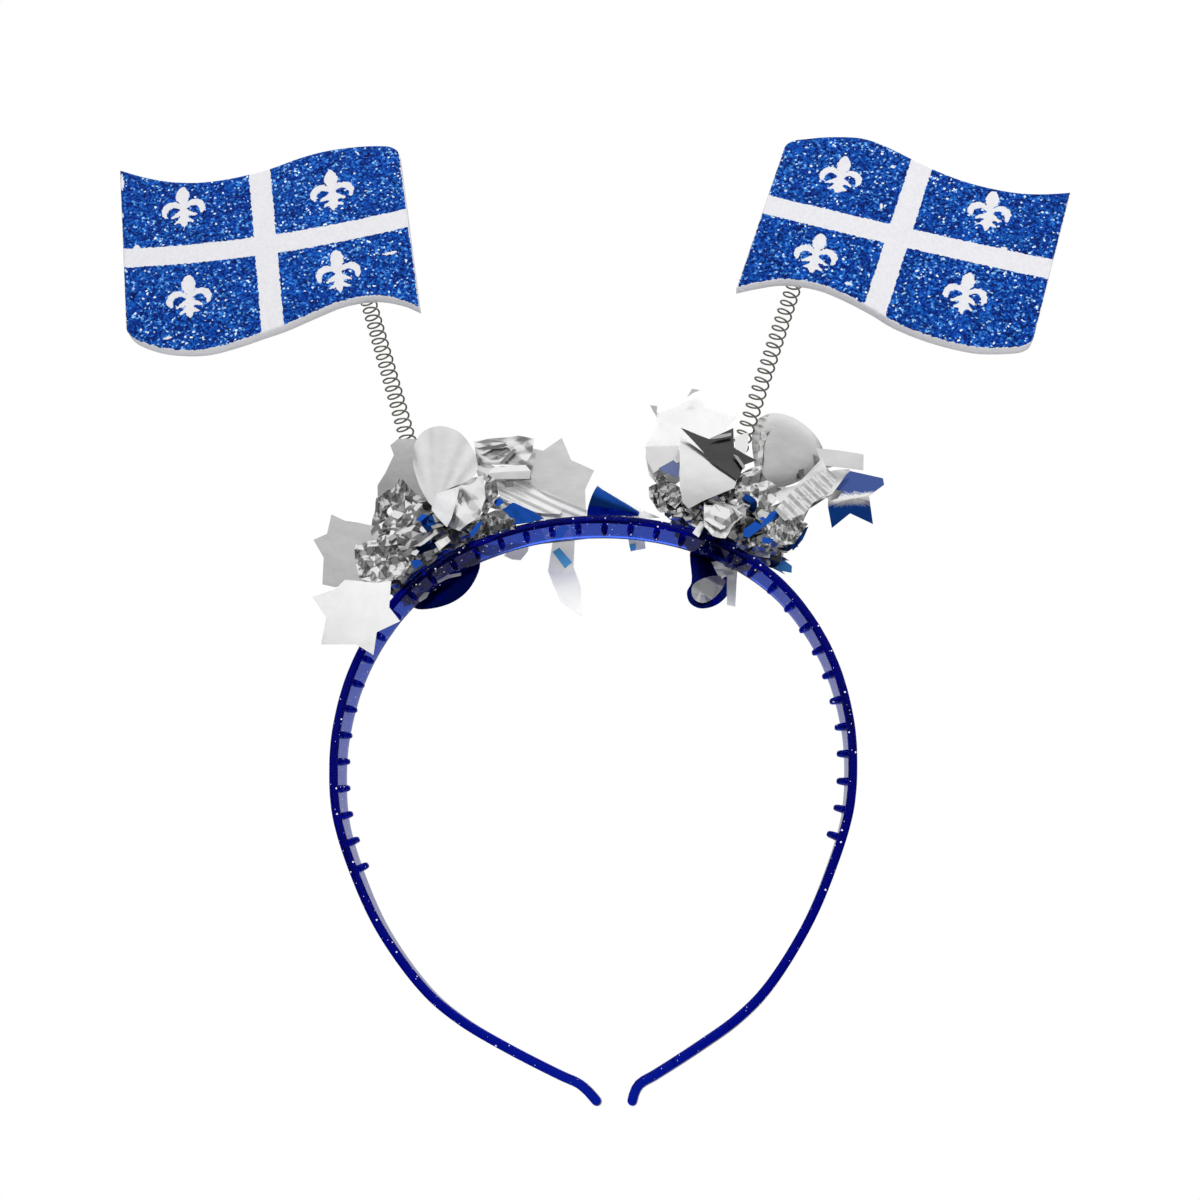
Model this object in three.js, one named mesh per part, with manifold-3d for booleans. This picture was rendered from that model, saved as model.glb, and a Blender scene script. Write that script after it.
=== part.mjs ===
import * as THREE from 'three';
import { mergeVertices } from 'three/addons/utils/BufferGeometryUtils.js';
import Module from 'manifold-3d';

// Head bopper, in millimetres. +Z is up as worn, -Y is the front that the flags face.
// The origin is the crown: the middle of the band's inner face at its highest point.

// Headband
const bandSpan = 130;
const bandHeight = 143.5;
const bandWidth = 11;
const tipWidth = 5.5;
const bandThickness = 2.2;
const bandChamfer = 0.6;
const taperStart = 112;
const bandStations = 84;
const tipLean = 5.4;
const tipLeanPower = 8.6;
const clearance = 0.3;

// Half of the band's centre line, from the crown to a tip. Spread is a share of half the
// span between the legs' middles, and drop a share of the band's height.
const bandRows = [
  { spread: 0, drop: 0 },
  { spread: 0.188, drop: 0.006 },
  { spread: 0.376, drop: 0.026 },
  { spread: 0.573, drop: 0.065 },
  { spread: 0.751, drop: 0.128 },
  { spread: 0.878, drop: 0.208 },
  { spread: 0.958, drop: 0.293 },
  { spread: 0.997, drop: 0.384 },
  { spread: 1, drop: 0.454 },
  { spread: 0.975, drop: 0.541 },
  { spread: 0.892, drop: 0.642 },
  { spread: 0.786, drop: 0.734 },
  { spread: 0.624, drop: 0.83 },
  { spread: 0.504, drop: 0.876 },
  { spread: 0.354, drop: 0.917 },
  { spread: 0.166, drop: 0.962 },
  { spread: 0.11, drop: 0.974 },
  { spread: 0.085, drop: 0.985 },
  { spread: 0.064, drop: 1 },
];

// Comb teeth on the inner face
const teethLeft = 19;
const teethRight = 18;
const toothPitch = 7.04;
const toothLength = 3.2;
const toothFront = 0.8;
const toothBreadth = 1.8;
const toothHeight = 2.6;
const toothRoot = 0.8;
const toothShoulder = 0.62;
const toothCrown = 0.55;

// Springs and the moulded posts they push on to
const springLength = 83.6;
const springDiameter = 4.8;
const wireDiameter = 0.55;
const coilPitch = 2.75;
const closePitch = 1.25;
const closeTurns = 3;
const stepsPerTurn = 8;
const postDiameter = 3.1;
const postLength = 9;
const springLift = 1.5;

// Flags of sheet foam and the pads that hold them on the springs
const flagLength = 83.2;
const flagHeight = 58;
const foamThickness = 3;
const padLength = 10.5;
const padWidth = 10;
const padDepth = 6.6;
const padChamfer = 2;
const padInset = 5.5;
const springInset = 2;
const graspShare = -0.3181;
const cornerRound = 3.4;

// The waving outline about the cross's middle: u outwards as a share of the flag's length,
// and each edge's height as a share of the flag's height.
const flagRows = [
  { u: -0.493, leftTop: 0.424, leftLow: -0.547, rightTop: 0.428, rightLow: -0.467 },
  { u: -0.433, leftTop: 0.452, leftLow: -0.486, rightTop: 0.459, rightLow: -0.421 },
  { u: -0.349, leftTop: 0.472, leftLow: -0.44, rightTop: 0.5, rightLow: -0.371 },
  { u: -0.24, leftTop: 0.479, leftLow: -0.436, rightTop: 0.528, rightLow: -0.357 },
  { u: -0.144, leftTop: 0.464, leftLow: -0.471, rightTop: 0.505, rightLow: -0.381 },
  { u: -0.036, leftTop: 0.429, leftLow: -0.517, rightTop: 0.455, rightLow: -0.429 },
  { u: 0.048, leftTop: 0.414, leftLow: -0.541, rightTop: 0.419, rightLow: -0.476 },
  { u: 0.144, leftTop: 0.409, leftLow: -0.567, rightTop: 0.39, rightLow: -0.507 },
  { u: 0.24, leftTop: 0.421, leftLow: -0.579, rightTop: 0.378, rightLow: -0.522 },
  { u: 0.337, leftTop: 0.457, leftLow: -0.555, rightTop: 0.381, rightLow: -0.521 },
  { u: 0.421, leftTop: 0.509, leftLow: -0.507, rightTop: 0.403, rightLow: -0.495 },
  { u: 0.507, leftTop: 0.578, leftLow: -0.424, rightTop: 0.441, rightLow: -0.453 },
];

// One row for each side. The spring's foot is a share of half the band's span, its free length
// and pitch are shares of the named ones, and the flag's span and shear are how the foam bent.
const sides = [
  { name: 'left', hand: -1, footSpread: 0.597, springLean: 16.9, springShare: 1,
    pitchShare: 0.964, flagDroop: 9, flagSpan: 1, flagShear: 0 },
  { name: 'right', hand: 1, footSpread: 0.465, springLean: 18.5, springShare: 0.957,
    pitchShare: 1.036, flagDroop: 16, flagSpan: 0.978, flagShear: 0.035 },
];

// Foil tufts. Each bunch has a crumpled heart, given in shares of tuftReach from its foot.
const foilThickness = 1;
const stemWidth = 2.6;
const stemThickness = 1.2;
const tuftReach = 40;
const foilSize = 0.6 * tuftReach;
const hearts = {
  left: { centre: [-0.18, 0.01, 0.14], along: 0.425, across: 0.312, deep: 0.275, slope: 37 },
  right: { centre: [0.13, 0.01, 0.09], along: 0.5, across: 0.25, deep: 0.275, slope: -27 },
};

// Each piece's middle and root are shares of tuftReach from the spring's foot, its width
// and height shares of foilSize, and its turns are degrees.
const foil = {
  left: [
    { kind: 'petal', at: [0.03, -0.28, 0.58], wide: 0.67, tall: 1, turn: 6, pitch: 12, yaw: 0 },
    { kind: 'petal', at: [-0.27, -0.15, 0.63], wide: 0.56, tall: 0.75, turn: 20, pitch: 0, yaw: -15 },
    { kind: 'star', at: [-0.61, -0.17, 0.05], wide: 0.85, tall: 0.85, turn: 18, pitch: 0, yaw: -12 },
    { kind: 'star', at: [-0.49, -0.33, -0.47], wide: 1, tall: 1, turn: 15, pitch: 8, yaw: 0 },
    { kind: 'strip', at: [0.39, -0.1, 0.79], wide: 0.67, tall: 0.3, turn: 8, pitch: 10, yaw: 0 },
    { kind: 'strip', at: [0.45, -0.15, 0.62], wide: 0.5, tall: 0.17, turn: 2, pitch: 10, yaw: 0 },
    { kind: 'star', at: [0.69, 0.03, 0.62], wide: 0.9, tall: 0.9, turn: -17, pitch: 0, yaw: 10 },
    { kind: 'strip', at: [0.64, -0.07, 0.45], wide: 1.04, tall: 0.19, turn: -23, pitch: 0, yaw: 0 },
    { kind: 'strip', at: [0.55, -0.18, 0.32], wide: 0.5, tall: 0.17, turn: -20, pitch: 0, yaw: 0 },
    { kind: 'petal', at: [-0.02, 0.23, -0.05], wide: 0.83, tall: 0.5, turn: 30, pitch: 10, yaw: 0,
      root: [-0.06, 0.2, 0.12] },
    { kind: 'leaf', at: [0.79, 0.23, -0.06], wide: 0.38, tall: 0.83, turn: 0, pitch: 0, yaw: 0,
      root: [0.08, 0.18, 0.16] },
    { kind: 'leaf', at: [1.12, 0, 0.44], wide: 0.58, tall: 0.38, turn: 0, pitch: 0, yaw: 0,
      root: [0.64, -0.05, 0.43] },
  ],
  right: [
    { kind: 'star', at: [-0.11, -0.07, 0.74], wide: 1.02, tall: 1.06, turn: -9, pitch: 5, yaw: 10 },
    { kind: 'star', at: [0.02, -0.28, 0.42], wide: 0.95, tall: 0.95, turn: -22, pitch: 5, yaw: 0 },
    { kind: 'strip', at: [0.23, -0.2, 0.62], wide: 0.17, tall: 0.27, turn: 0, pitch: 0, yaw: 0 },
    { kind: 'petal', at: [0.57, 0.11, 0.72], wide: 0.71, tall: 0.85, turn: 30, pitch: 0, yaw: 0 },
    { kind: 'strip', at: [0.93, 0.05, 0.61], wide: 0.46, tall: 0.25, turn: -10, pitch: 0, yaw: 0,
      root: [0.63, 0.11, 0.6] },
    { kind: 'star', at: [0.96, -0.05, 0.29], wide: 0.8, tall: 0.84, turn: -10, pitch: 0, yaw: 15 },
    { kind: 'strip', at: [0.63, -0.17, 0.29], wide: 0.71, tall: 0.14, turn: 44, pitch: 0, yaw: 0 },
    { kind: 'strip', at: [0.34, -0.23, 0.09], wide: 0.5, tall: 0.11, turn: 39, pitch: 0, yaw: 0 },
    { kind: 'leaf', at: [0.02, 0.23, -0.14], wide: 0.52, tall: 0.78, turn: 0, pitch: 0, yaw: 0,
      root: [0.08, 0.2, 0.08] },
    { kind: 'strip', at: [0.14, 0.24, -0.27], wide: 0.11, tall: 0.42, turn: 0, pitch: 0, yaw: 0,
      root: [0.13, 0.21, 0.03] },
    { kind: 'strip', at: [0.43, 0.07, -0.09], wide: 0.38, tall: 0.25, turn: -30, pitch: 0, yaw: 0 },
  ],
};

const wasm = await Module();
wasm.setup();

const toRadians = THREE.MathUtils.degToRad;

// A closed skin over rings of equal point counts, turned outwards whatever way they run.
function skin(rings) {
  const count = rings[0].length;
  const points = rings.flat();
  const faces = [];
  for (let r = 0; r < rings.length - 1; r += 1) {
    for (let k = 0; k < count; k += 1) {
      const a = r * count + k;
      const b = r * count + ((k + 1) % count);
      faces.push([a, b, b + count], [a, b + count, a + count]);
    }
  }
  const last = (rings.length - 1) * count;
  for (let k = 1; k < count - 1; k += 1) {
    faces.push([0, k + 1, k], [last, last + k, last + k + 1]);
  }
  let volume = 0;
  for (const [a, b, c] of faces) {
    volume += points[a].dot(new THREE.Vector3().crossVectors(points[b], points[c]));
  }
  const index = faces.flatMap(([a, b, c]) => (volume > 0 ? [a, b, c] : [a, c, b]));
  const geometry = new THREE.BufferGeometry();
  const flat = points.flatMap((p) => [p.x, p.y, p.z]);
  geometry.setAttribute('position', new THREE.Float32BufferAttribute(flat, 3));
  geometry.setIndex(index);
  return geometry;
}

// A geometry's shared corners merged, as a solid that can be joined and cut.
function solid(geometry) {
  const bare = geometry.clone();
  bare.deleteAttribute('normal');
  bare.deleteAttribute('uv');
  const merged = mergeVertices(bare, 1e-4);
  return new wasm.Manifold(
    new wasm.Mesh({
      numProp: 3,
      vertProperties: new Float32Array(merged.attributes.position.array),
      triVerts: new Uint32Array(merged.index.array),
    }),
  );
}

function geometryOf(body) {
  const mesh = body.getMesh();
  const geometry = new THREE.BufferGeometry();
  geometry.setAttribute('position', new THREE.Float32BufferAttribute(mesh.vertProperties, 3));
  geometry.setIndex(Array.from(mesh.triVerts));
  return geometry;
}

// Both legs lean the same way near the tips, as a band that was flexed does.
function bandPoint(hand, row) {
  const spread = (hand * row.spread * (bandSpan - bandThickness)) / 2;
  const lean = tipLean * row.drop ** tipLeanPower;
  return new THREE.Vector3(spread + lean, 0, bandThickness / 2 - row.drop * bandHeight);
}

const bandCurve = new THREE.CatmullRomCurve3(
  [
    ...bandRows.slice(1).reverse().map((row) => bandPoint(-1, row)),
    ...bandRows.map((row) => bandPoint(1, row)),
  ],
  false,
  'centripetal',
);
bandCurve.arcLengthDivisions = 2000;
const bandLength = bandCurve.getLength();

// The length of band from the left tip to the crown, its highest point.
const crownLength = (() => {
  const steps = 4000;
  let best = 0;
  for (let k = 0; k <= steps; k += 1) {
    const here = bandCurve.getPointAt(k / steps);
    if (here.z > bandCurve.getPointAt(best).z) best = k / steps;
  }
  return best * bandLength;
})();

// The band's frame at an arc length from the crown: centre, direction and outward normal.
function bandFrame(arc) {
  const t = THREE.MathUtils.clamp((crownLength + arc) / bandLength, 0, 1);
  const centre = bandCurve.getPointAt(t);
  const along = bandCurve.getTangentAt(t);
  const outward = new THREE.Vector3(-along.z, 0, along.x);
  return { centre, along, outward };
}

// The band is full width over the head and narrows evenly to its tips.
function widthAt(arc) {
  const reach = Math.min(crownLength, bandLength - crownLength);
  const share = THREE.MathUtils.clamp((Math.abs(arc) - taperStart) / (reach - taperStart), 0, 1);
  return bandWidth + (tipWidth - bandWidth) * share;
}

// A chamfered rectangle across the band, grown by a margin, as points in the frame.
function bandSection(frame, width, thickness, chamfer) {
  const w = width / 2;
  const t = thickness / 2;
  const corners = [
    [w - chamfer, t], [w, t - chamfer], [w, chamfer - t], [w - chamfer, -t],
    [chamfer - w, -t], [-w, chamfer - t], [-w, t - chamfer], [chamfer - w, t],
  ];
  return corners.map(([y, n]) => {
    const point = frame.centre.clone().addScaledVector(frame.outward, n);
    point.y = y;
    return point;
  });
}

function bandRings(margin) {
  const rings = [];
  for (let k = 0; k <= bandStations; k += 1) {
    const arc = -crownLength + (bandLength * k) / bandStations;
    const frame = bandFrame(arc);
    const width = widthAt(arc) + 2 * margin;
    rings.push(bandSection(frame, width, bandThickness + 2 * margin, bandChamfer));
  }
  return rings;
}

// The tips end in a rounded cap: the last section shrinks as a quarter circle runs out.
function withRoundTips(rings) {
  const shrink = (arc, way) => [30, 60, 80].map((angle) => {
    const frame = bandFrame(arc);
    const run = (bandThickness / 2) * Math.sin(toRadians(angle));
    const scale = Math.cos(toRadians(angle));
    frame.centre.addScaledVector(frame.along, way * run);
    const width = widthAt(arc) - bandThickness * (1 - scale);
    return bandSection(frame, width, bandThickness * scale, bandChamfer * scale);
  });
  const start = shrink(-crownLength, -1).reverse();
  const end = shrink(bandLength - crownLength, 1);
  return [...start, ...rings, ...end];
}

// A tooth: a long six-sided peg across the front half of the band with its crown drawn in.
function tooth(arc) {
  const frame = bandFrame(arc);
  const ring = (depth, scale) => {
    const half = (toothLength / 2) - (toothBreadth / 2) * (1 - scale);
    const side = (toothBreadth / 2) * scale;
    const outline = [
      [half, 0], [half - side, side], [side - half, side],
      [-half, 0], [side - half, -side], [half - side, -side],
    ];
    return outline.map(([y, a]) => {
      const point = frame.centre.clone().addScaledVector(frame.along, a);
      point.addScaledVector(frame.outward, -bandThickness / 2 - depth);
      point.y = y + toothFront + (toothLength - bandWidth) / 2;
      return point;
    });
  };
  return skin([
    ring(-toothRoot, 1),
    ring(toothHeight * toothShoulder, 1),
    ring(toothHeight, toothCrown),
  ]);
}

function freeLength(side) {
  return side.springShare * springLength;
}

// Where a spring stands: its foot on the band's outer face and its direction.
function springAxis(side) {
  let arc = 0;
  const footSpread = (side.footSpread * bandSpan) / 2;
  while (Math.abs(bandFrame(arc).centre.x) < footSpread) arc += side.hand * 0.05;
  const frame = bandFrame(arc);
  const lean = toRadians(side.springLean);
  const up = new THREE.Vector3(side.hand * Math.sin(lean), 0, Math.cos(lean));
  const foot = frame.centre.clone().addScaledVector(frame.outward, bandThickness / 2);
  return { foot, up };
}

// A plain round rod between two distances along an axis.
function rod(axis, from, to, radius, sidesCount) {
  const geometry = new THREE.CylinderGeometry(radius, radius, to - from, sidesCount);
  geometry.translate(0, (from + to) / 2, 0);
  geometry.applyQuaternion(
    new THREE.Quaternion().setFromUnitVectors(new THREE.Vector3(0, 1, 0), axis.up),
  );
  geometry.translate(axis.foot.x, axis.foot.y, axis.foot.z);
  return geometry;
}

// A wire wound round the axis: close turns at both ends and an open coil between them.
function coil(axis, from, to, pitch) {
  const radius = (springDiameter - wireDiameter) / 2;
  const closeRun = closeTurns * closePitch;
  const openTurns = Math.round((to - from - 2 * closeRun) / pitch);
  const openPitch = (to - from - 2 * closeRun) / openTurns;
  const turns = openTurns + 2 * closeTurns;
  const climb = (turn) => {
    if (turn < closeTurns) return turn * closePitch;
    if (turn < closeTurns + openTurns) return closeRun + (turn - closeTurns) * openPitch;
    return to - from - (turns - turn) * closePitch;
  };
  const across = new THREE.Vector3(0, 1, 0);
  const beside = new THREE.Vector3().crossVectors(axis.up, across);
  const rings = [];
  for (let k = 0; k <= turns * stepsPerTurn; k += 1) {
    const turn = k / stepsPerTurn;
    const angle = 2 * Math.PI * turn;
    const out = beside.clone().multiplyScalar(Math.cos(angle));
    out.addScaledVector(across, Math.sin(angle));
    const centre = axis.foot.clone().addScaledVector(axis.up, from + climb(turn));
    centre.addScaledVector(out, radius);
    rings.push([0, 1, 2, 3].map((corner) => {
      const round = (corner * Math.PI) / 2;
      return centre.clone()
        .addScaledVector(out, (Math.cos(round) * wireDiameter) / 2)
        .addScaledVector(axis.up, (Math.sin(round) * wireDiameter) / 2);
    }));
  }
  return skin(rings);
}

// The flag's waving edges as points in its own plane, outwards from the cross's middle.
function flagEdge(side, edge) {
  const rows = flagRows.map((row) => (
    new THREE.Vector2(row.u * flagLength, row[`${side.name}${edge}`] * flagHeight)
  ));
  return new THREE.SplineCurve(rows).getPoints(18).map((p) => (
    new THREE.Vector2(p.x * side.flagSpan + p.y * side.flagShear, p.y)
  ));
}

// The outline: top and bottom edges, with the inner top and outer bottom corners rounded.
function flagShape(side) {
  const topLine = flagEdge(side, 'Top');
  const lowLine = flagEdge(side, 'Low').reverse();
  const rounded = (corner, before, after) => {
    const from = corner.clone().add(before.clone().sub(corner).setLength(cornerRound));
    const to = corner.clone().add(after.clone().sub(corner).setLength(cornerRound));
    return new THREE.QuadraticBezierCurve(from, corner, to).getPoints(4);
  };
  const outline = [
    ...rounded(topLine[0], lowLine.at(-1), topLine[2]),
    ...topLine.slice(2),
    ...rounded(lowLine[0], topLine.at(-1), lowLine[2]),
    ...lowLine.slice(2),
  ];
  return new THREE.Shape(outline.map((p) => new THREE.Vector2(side.hand * p.x, p.y)));
}

// The flag's middle: its lower edge at the grasp point meets the spring's axis.
function flagPlace(side, axis) {
  const droop = toRadians(side.flagDroop);
  const graspU = graspShare * flagLength;
  const away = (p) => Math.abs(p.x - graspU);
  const [near, next] = [...flagEdge(side, 'Low')].sort((p, q) => away(p) - away(q));
  const edge = near.clone().lerp(next, (graspU - near.x) / (next.x - near.x));
  const u = edge.x * Math.cos(droop) + edge.y * Math.sin(droop);
  const v = edge.y * Math.cos(droop) - edge.x * Math.sin(droop);
  const grasp = axis.foot.clone().addScaledVector(axis.up, freeLength(side));
  return new THREE.Vector3(grasp.x - side.hand * u, 0, grasp.z - v);
}

const backPlane = -(springDiameter / 2 + clearance);

function flag(side, axis) {
  const place = flagPlace(side, axis);
  const geometry = new THREE.ExtrudeGeometry(flagShape(side), {
    depth: foamThickness,
    bevelEnabled: false,
  });
  geometry.rotateX(Math.PI / 2);
  geometry.rotateY(toRadians(side.hand * side.flagDroop));
  return geometry.translate(place.x, backPlane, place.z);
}

// The pad: a foam block on the flag's back with a channel for the spring's end.
function pad(axis, side) {
  const bore = springDiameter / 2 + clearance;
  const half = padWidth / 2;
  const shape = new THREE.Shape();
  shape.moveTo(-half, 0);
  shape.lineTo(-bore, 0);
  const axisDepth = springDiameter / 2;
  shape.lineTo(-bore, axisDepth);
  for (let k = 1; k < 8; k += 1) {
    const angle = Math.PI - (Math.PI * k) / 8;
    shape.lineTo(bore * Math.cos(angle), axisDepth + bore * Math.sin(angle));
  }
  shape.lineTo(bore, axisDepth);
  shape.lineTo(bore, 0);
  shape.lineTo(half, 0);
  shape.lineTo(half, padDepth - padChamfer);
  shape.lineTo(half - padChamfer, padDepth);
  shape.lineTo(padChamfer - half, padDepth);
  shape.lineTo(-half, padDepth - padChamfer);
  shape.closePath();
  const geometry = new THREE.ExtrudeGeometry(shape, { depth: padLength, bevelEnabled: false });
  const frame = new THREE.Matrix4().makeBasis(
    new THREE.Vector3().crossVectors(new THREE.Vector3(0, 1, 0), axis.up),
    new THREE.Vector3(0, 1, 0),
    axis.up,
  );
  geometry.applyMatrix4(frame);
  const start = axis.foot.clone().addScaledVector(axis.up, freeLength(side) + padInset);
  return geometry.translate(start.x, backPlane + clearance, start.z);
}

// Outlines of the foil pieces, one unit wide and tall about their middles.
const foilOutlines = {
  star: Array.from({ length: 12 }, (_, k) => {
    const reach = k % 2 ? 0.35 : 0.52;
    const angle = Math.PI / 2 + (k * Math.PI) / 6;
    return [reach * Math.cos(angle), reach * Math.sin(angle)];
  }),
  petal: Array.from({ length: 12 }, (_, k) => {
    const angle = (k * Math.PI) / 6;
    return [0.5 * Math.cos(angle), 0.5 * Math.sin(angle)];
  }),
  leaf: [[-0.5, 0.3], [-0.3, 0.5], [0.3, 0.3], [0.5, -0.1], [0.5, -0.5], [-0.1, -0.3]],
  strip: [[-0.5, -0.5], [0.5, -0.5], [0.5, 0.5], [-0.5, 0.5]],
};

// A place in a tuft, from its shares of the reach.
function tuftPoint(foot, shares) {
  return foot.clone().addScaledVector(new THREE.Vector3(...shares), tuftReach);
}

// One piece of foil: its outline as a thin plate, turned and set in its place.
function foilPlate(row, foot) {
  const points = foilOutlines[row.kind].map(([x, y]) => (
    new THREE.Vector2(x * row.wide * foilSize, y * row.tall * foilSize)
  ));
  const geometry = new THREE.ExtrudeGeometry(new THREE.Shape(points), {
    depth: foilThickness,
    bevelEnabled: false,
  });
  geometry.translate(0, 0, -foilThickness / 2);
  geometry.rotateX(Math.PI / 2);
  geometry.rotateY(toRadians(-row.turn));
  geometry.rotateX(toRadians(row.pitch));
  geometry.rotateZ(toRadians(row.yaw));
  const middle = tuftPoint(foot, row.at);
  return geometry.translate(middle.x, middle.y, middle.z);
}

// A strip of foil from the bunch's heart to a piece's middle.
function foilStem(start, end) {
  const run = end.clone().sub(start);
  const geometry = new THREE.BoxGeometry(stemWidth, run.length(), stemThickness);
  geometry.translate(0, run.length() / 2, 0);
  geometry.applyQuaternion(
    new THREE.Quaternion().setFromUnitVectors(new THREE.Vector3(0, 1, 0), run.normalize()),
  );
  return geometry.translate(start.x, start.y, start.z);
}

// The crumpled heart: a dented ball stretched along the band.
function heart(row, foot) {
  const ball = new THREE.IcosahedronGeometry(1, 2);
  ball.deleteAttribute('normal');
  ball.deleteAttribute('uv');
  const geometry = mergeVertices(ball, 1e-4);
  const position = geometry.attributes.position;
  for (let k = 0; k < position.count; k += 1) {
    const p = new THREE.Vector3().fromBufferAttribute(position, k);
    const dent = 1 + 0.09 * Math.sin(7 * p.x + 3 * p.z) * Math.cos(5 * p.y - 4 * p.z);
    p.multiply(new THREE.Vector3(row.along, row.deep, row.across));
    p.multiplyScalar(dent * tuftReach);
    position.setXYZ(k, p.x, p.y, p.z);
  }
  geometry.rotateY(toRadians(-row.slope));
  const middle = tuftPoint(foot, row.centre);
  return geometry.translate(middle.x, middle.y, middle.z);
}

// Everything in front of the band's rear edge and inside its curve, near one foot.
function underBand(side) {
  const outer = bandThickness / 2 + clearance;
  const rear = bandWidth / 2 + clearance;
  const inner = -0.6 * tuftReach;
  const front = -tuftReach;
  const corners = [[front, outer], [rear, outer], [rear, inner], [front, inner]];
  const rings = [];
  for (let step = 1; step <= 23; step += 1) {
    const frame = bandFrame(side.hand * step * 0.1 * tuftReach);
    rings.push(corners.map(([y, n]) => {
      const point = frame.centre.clone().addScaledVector(frame.outward, n);
      point.y = y;
      return point;
    }));
  }
  return skin(rings);
}

function largest(body) {
  return body.decompose().reduce((best, next) => (next.volume() > best.volume() ? next : best));
}

function tuft(side, axis, bandRoom) {
  const middle = hearts[side.name];
  const whole = solid(heart(middle, axis.foot));
  let body = largest(whole.subtract(solid(underBand(side))));
  for (const row of foil[side.name]) {
    const root = tuftPoint(axis.foot, row.root ?? middle.centre);
    body = body.add(solid(foilPlate(row, axis.foot)));
    body = body.add(solid(foilStem(root, tuftPoint(axis.foot, row.at))));
  }
  const room = springDiameter / 2 + clearance;
  const springRoom = rod(axis, -bandThickness / 2, freeLength(side) * 0.6, room, 12);
  return body.subtract(bandRoom).subtract(solid(springRoom));
}

function material(color, roughness, metalness) {
  return new THREE.MeshStandardMaterial({ color, roughness, metalness });
}

const looks = {
  plastic: material(0x1c2a8c, 0.25, 0),
  steel: material(0xb4b2a8, 0.3, 1),
  foam: material(0x1750b4, 0.8, 0),
  pad: material(0xe6e6ea, 0.9, 0),
  foil: material(0xc8c8cc, 0.2, 1),
};

function named(name, geometry, look) {
  geometry.computeVertexNormals();
  const mesh = new THREE.Mesh(geometry, look);
  mesh.name = name;
  return mesh;
}

const headBopper = new THREE.Group();

let band = solid(skin(withRoundTips(bandRings(0))));
for (let k = -teethLeft; k < teethRight; k += 1) {
  band = band.add(solid(tooth((k + 0.5) * toothPitch)));
}
const bandRoom = solid(skin(bandRings(clearance)));
for (const side of sides) {
  const axis = springAxis(side);
  band = band.add(solid(rod(axis, -bandThickness / 2, postLength, postDiameter / 2, 8)));
  const springEnd = freeLength(side) + padInset + padLength - springInset;
  const pitch = side.pitchShare * coilPitch;
  headBopper.add(
    named(`spring_${side.name}`, coil(axis, springLift, springEnd, pitch), looks.steel),
    named(`flag_${side.name}`, flag(side, axis), looks.foam),
    named(`pad_${side.name}`, pad(axis, side), looks.pad),
    named(`tuft_${side.name}`, geometryOf(tuft(side, axis, bandRoom)), looks.foil),
  );
}
headBopper.add(named('headband', geometryOf(band), looks.plastic));

export default headBopper;
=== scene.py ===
# Head bopper: a glittery blue plastic band with comb teeth, two sprung foam flags and two bunches of foil.
import math

import bpy
import numpy as np
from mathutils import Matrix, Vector


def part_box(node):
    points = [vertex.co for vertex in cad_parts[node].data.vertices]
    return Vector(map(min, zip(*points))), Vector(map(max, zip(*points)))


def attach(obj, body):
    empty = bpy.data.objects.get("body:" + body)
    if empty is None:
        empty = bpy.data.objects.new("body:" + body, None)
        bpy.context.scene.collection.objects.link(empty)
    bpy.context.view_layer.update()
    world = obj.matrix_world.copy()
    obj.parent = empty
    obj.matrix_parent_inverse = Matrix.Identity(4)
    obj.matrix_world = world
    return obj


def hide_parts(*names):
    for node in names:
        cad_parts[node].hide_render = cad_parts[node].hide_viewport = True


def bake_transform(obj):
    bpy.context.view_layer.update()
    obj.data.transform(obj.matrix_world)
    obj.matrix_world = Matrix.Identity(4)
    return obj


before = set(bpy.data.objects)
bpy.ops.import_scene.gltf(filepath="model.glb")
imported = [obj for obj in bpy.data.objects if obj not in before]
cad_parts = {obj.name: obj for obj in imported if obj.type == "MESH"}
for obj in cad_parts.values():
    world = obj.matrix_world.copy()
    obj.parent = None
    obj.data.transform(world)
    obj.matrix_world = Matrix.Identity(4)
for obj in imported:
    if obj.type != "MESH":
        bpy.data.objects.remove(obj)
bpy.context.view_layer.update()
mm = 0.001  # the shapes below are worked out in millimetres and written to the meshes in metres
print("frame loaded:", len(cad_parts), "nodes")


# Colour and node helpers

def hexColour(text):
    # sRGB hex to linear: c / 12.92 below 0.04045, else ((c + 0.055) / 1.055) ^ 2.4
    values = [int(text[k:k + 2], 16) / 255 for k in (1, 3, 5)]
    linear = [c / 12.92 if c <= 0.04045 else ((c + 0.055) / 1.055) ** 2.4 for c in values]
    return (*linear, 1.0)


def addNode(tree, kind, inputs=None, **settings):
    # one node: settings are its properties, inputs its socket values or (node, output) links
    node = tree.nodes.new(kind)
    for key, value in settings.items():
        setattr(node, key, value)
    for key, value in (inputs or {}).items():
        socket = node.inputs[key]
        if isinstance(value, tuple) and isinstance(value[0], bpy.types.Node):
            tree.links.new(value[0].outputs[value[1]], socket)
        else:
            socket.default_value = value
    return node


def mathNode(tree, operation, *values):
    # each value is a number or a (node, output) link
    return addNode(tree, "ShaderNodeMath", dict(enumerate(values)), operation=operation)


def mapNode(tree, value, given, wanted=(0.0, 1.0)):
    # carries value evenly from the range given to the range wanted, and holds it there
    return addNode(tree, "ShaderNodeMapRange", {
        0: value, 1: given[0], 2: given[1], 3: wanted[0], 4: wanted[1]})


def mixNode(tree, factor, first, second, blend="MIX"):
    # the first colour where factor is 0 and the second, or their product, where it is 1
    inputs = {0: factor, 6: first, 7: second}
    return addNode(tree, "ShaderNodeMix", inputs, data_type="RGBA", blend_type=blend)


def scaleNode(tree, colour, factor):
    # a colour made lighter or darker by a factor
    return addNode(tree, "ShaderNodeVectorMath", {0: colour, "Scale": factor}, operation="SCALE")


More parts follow.
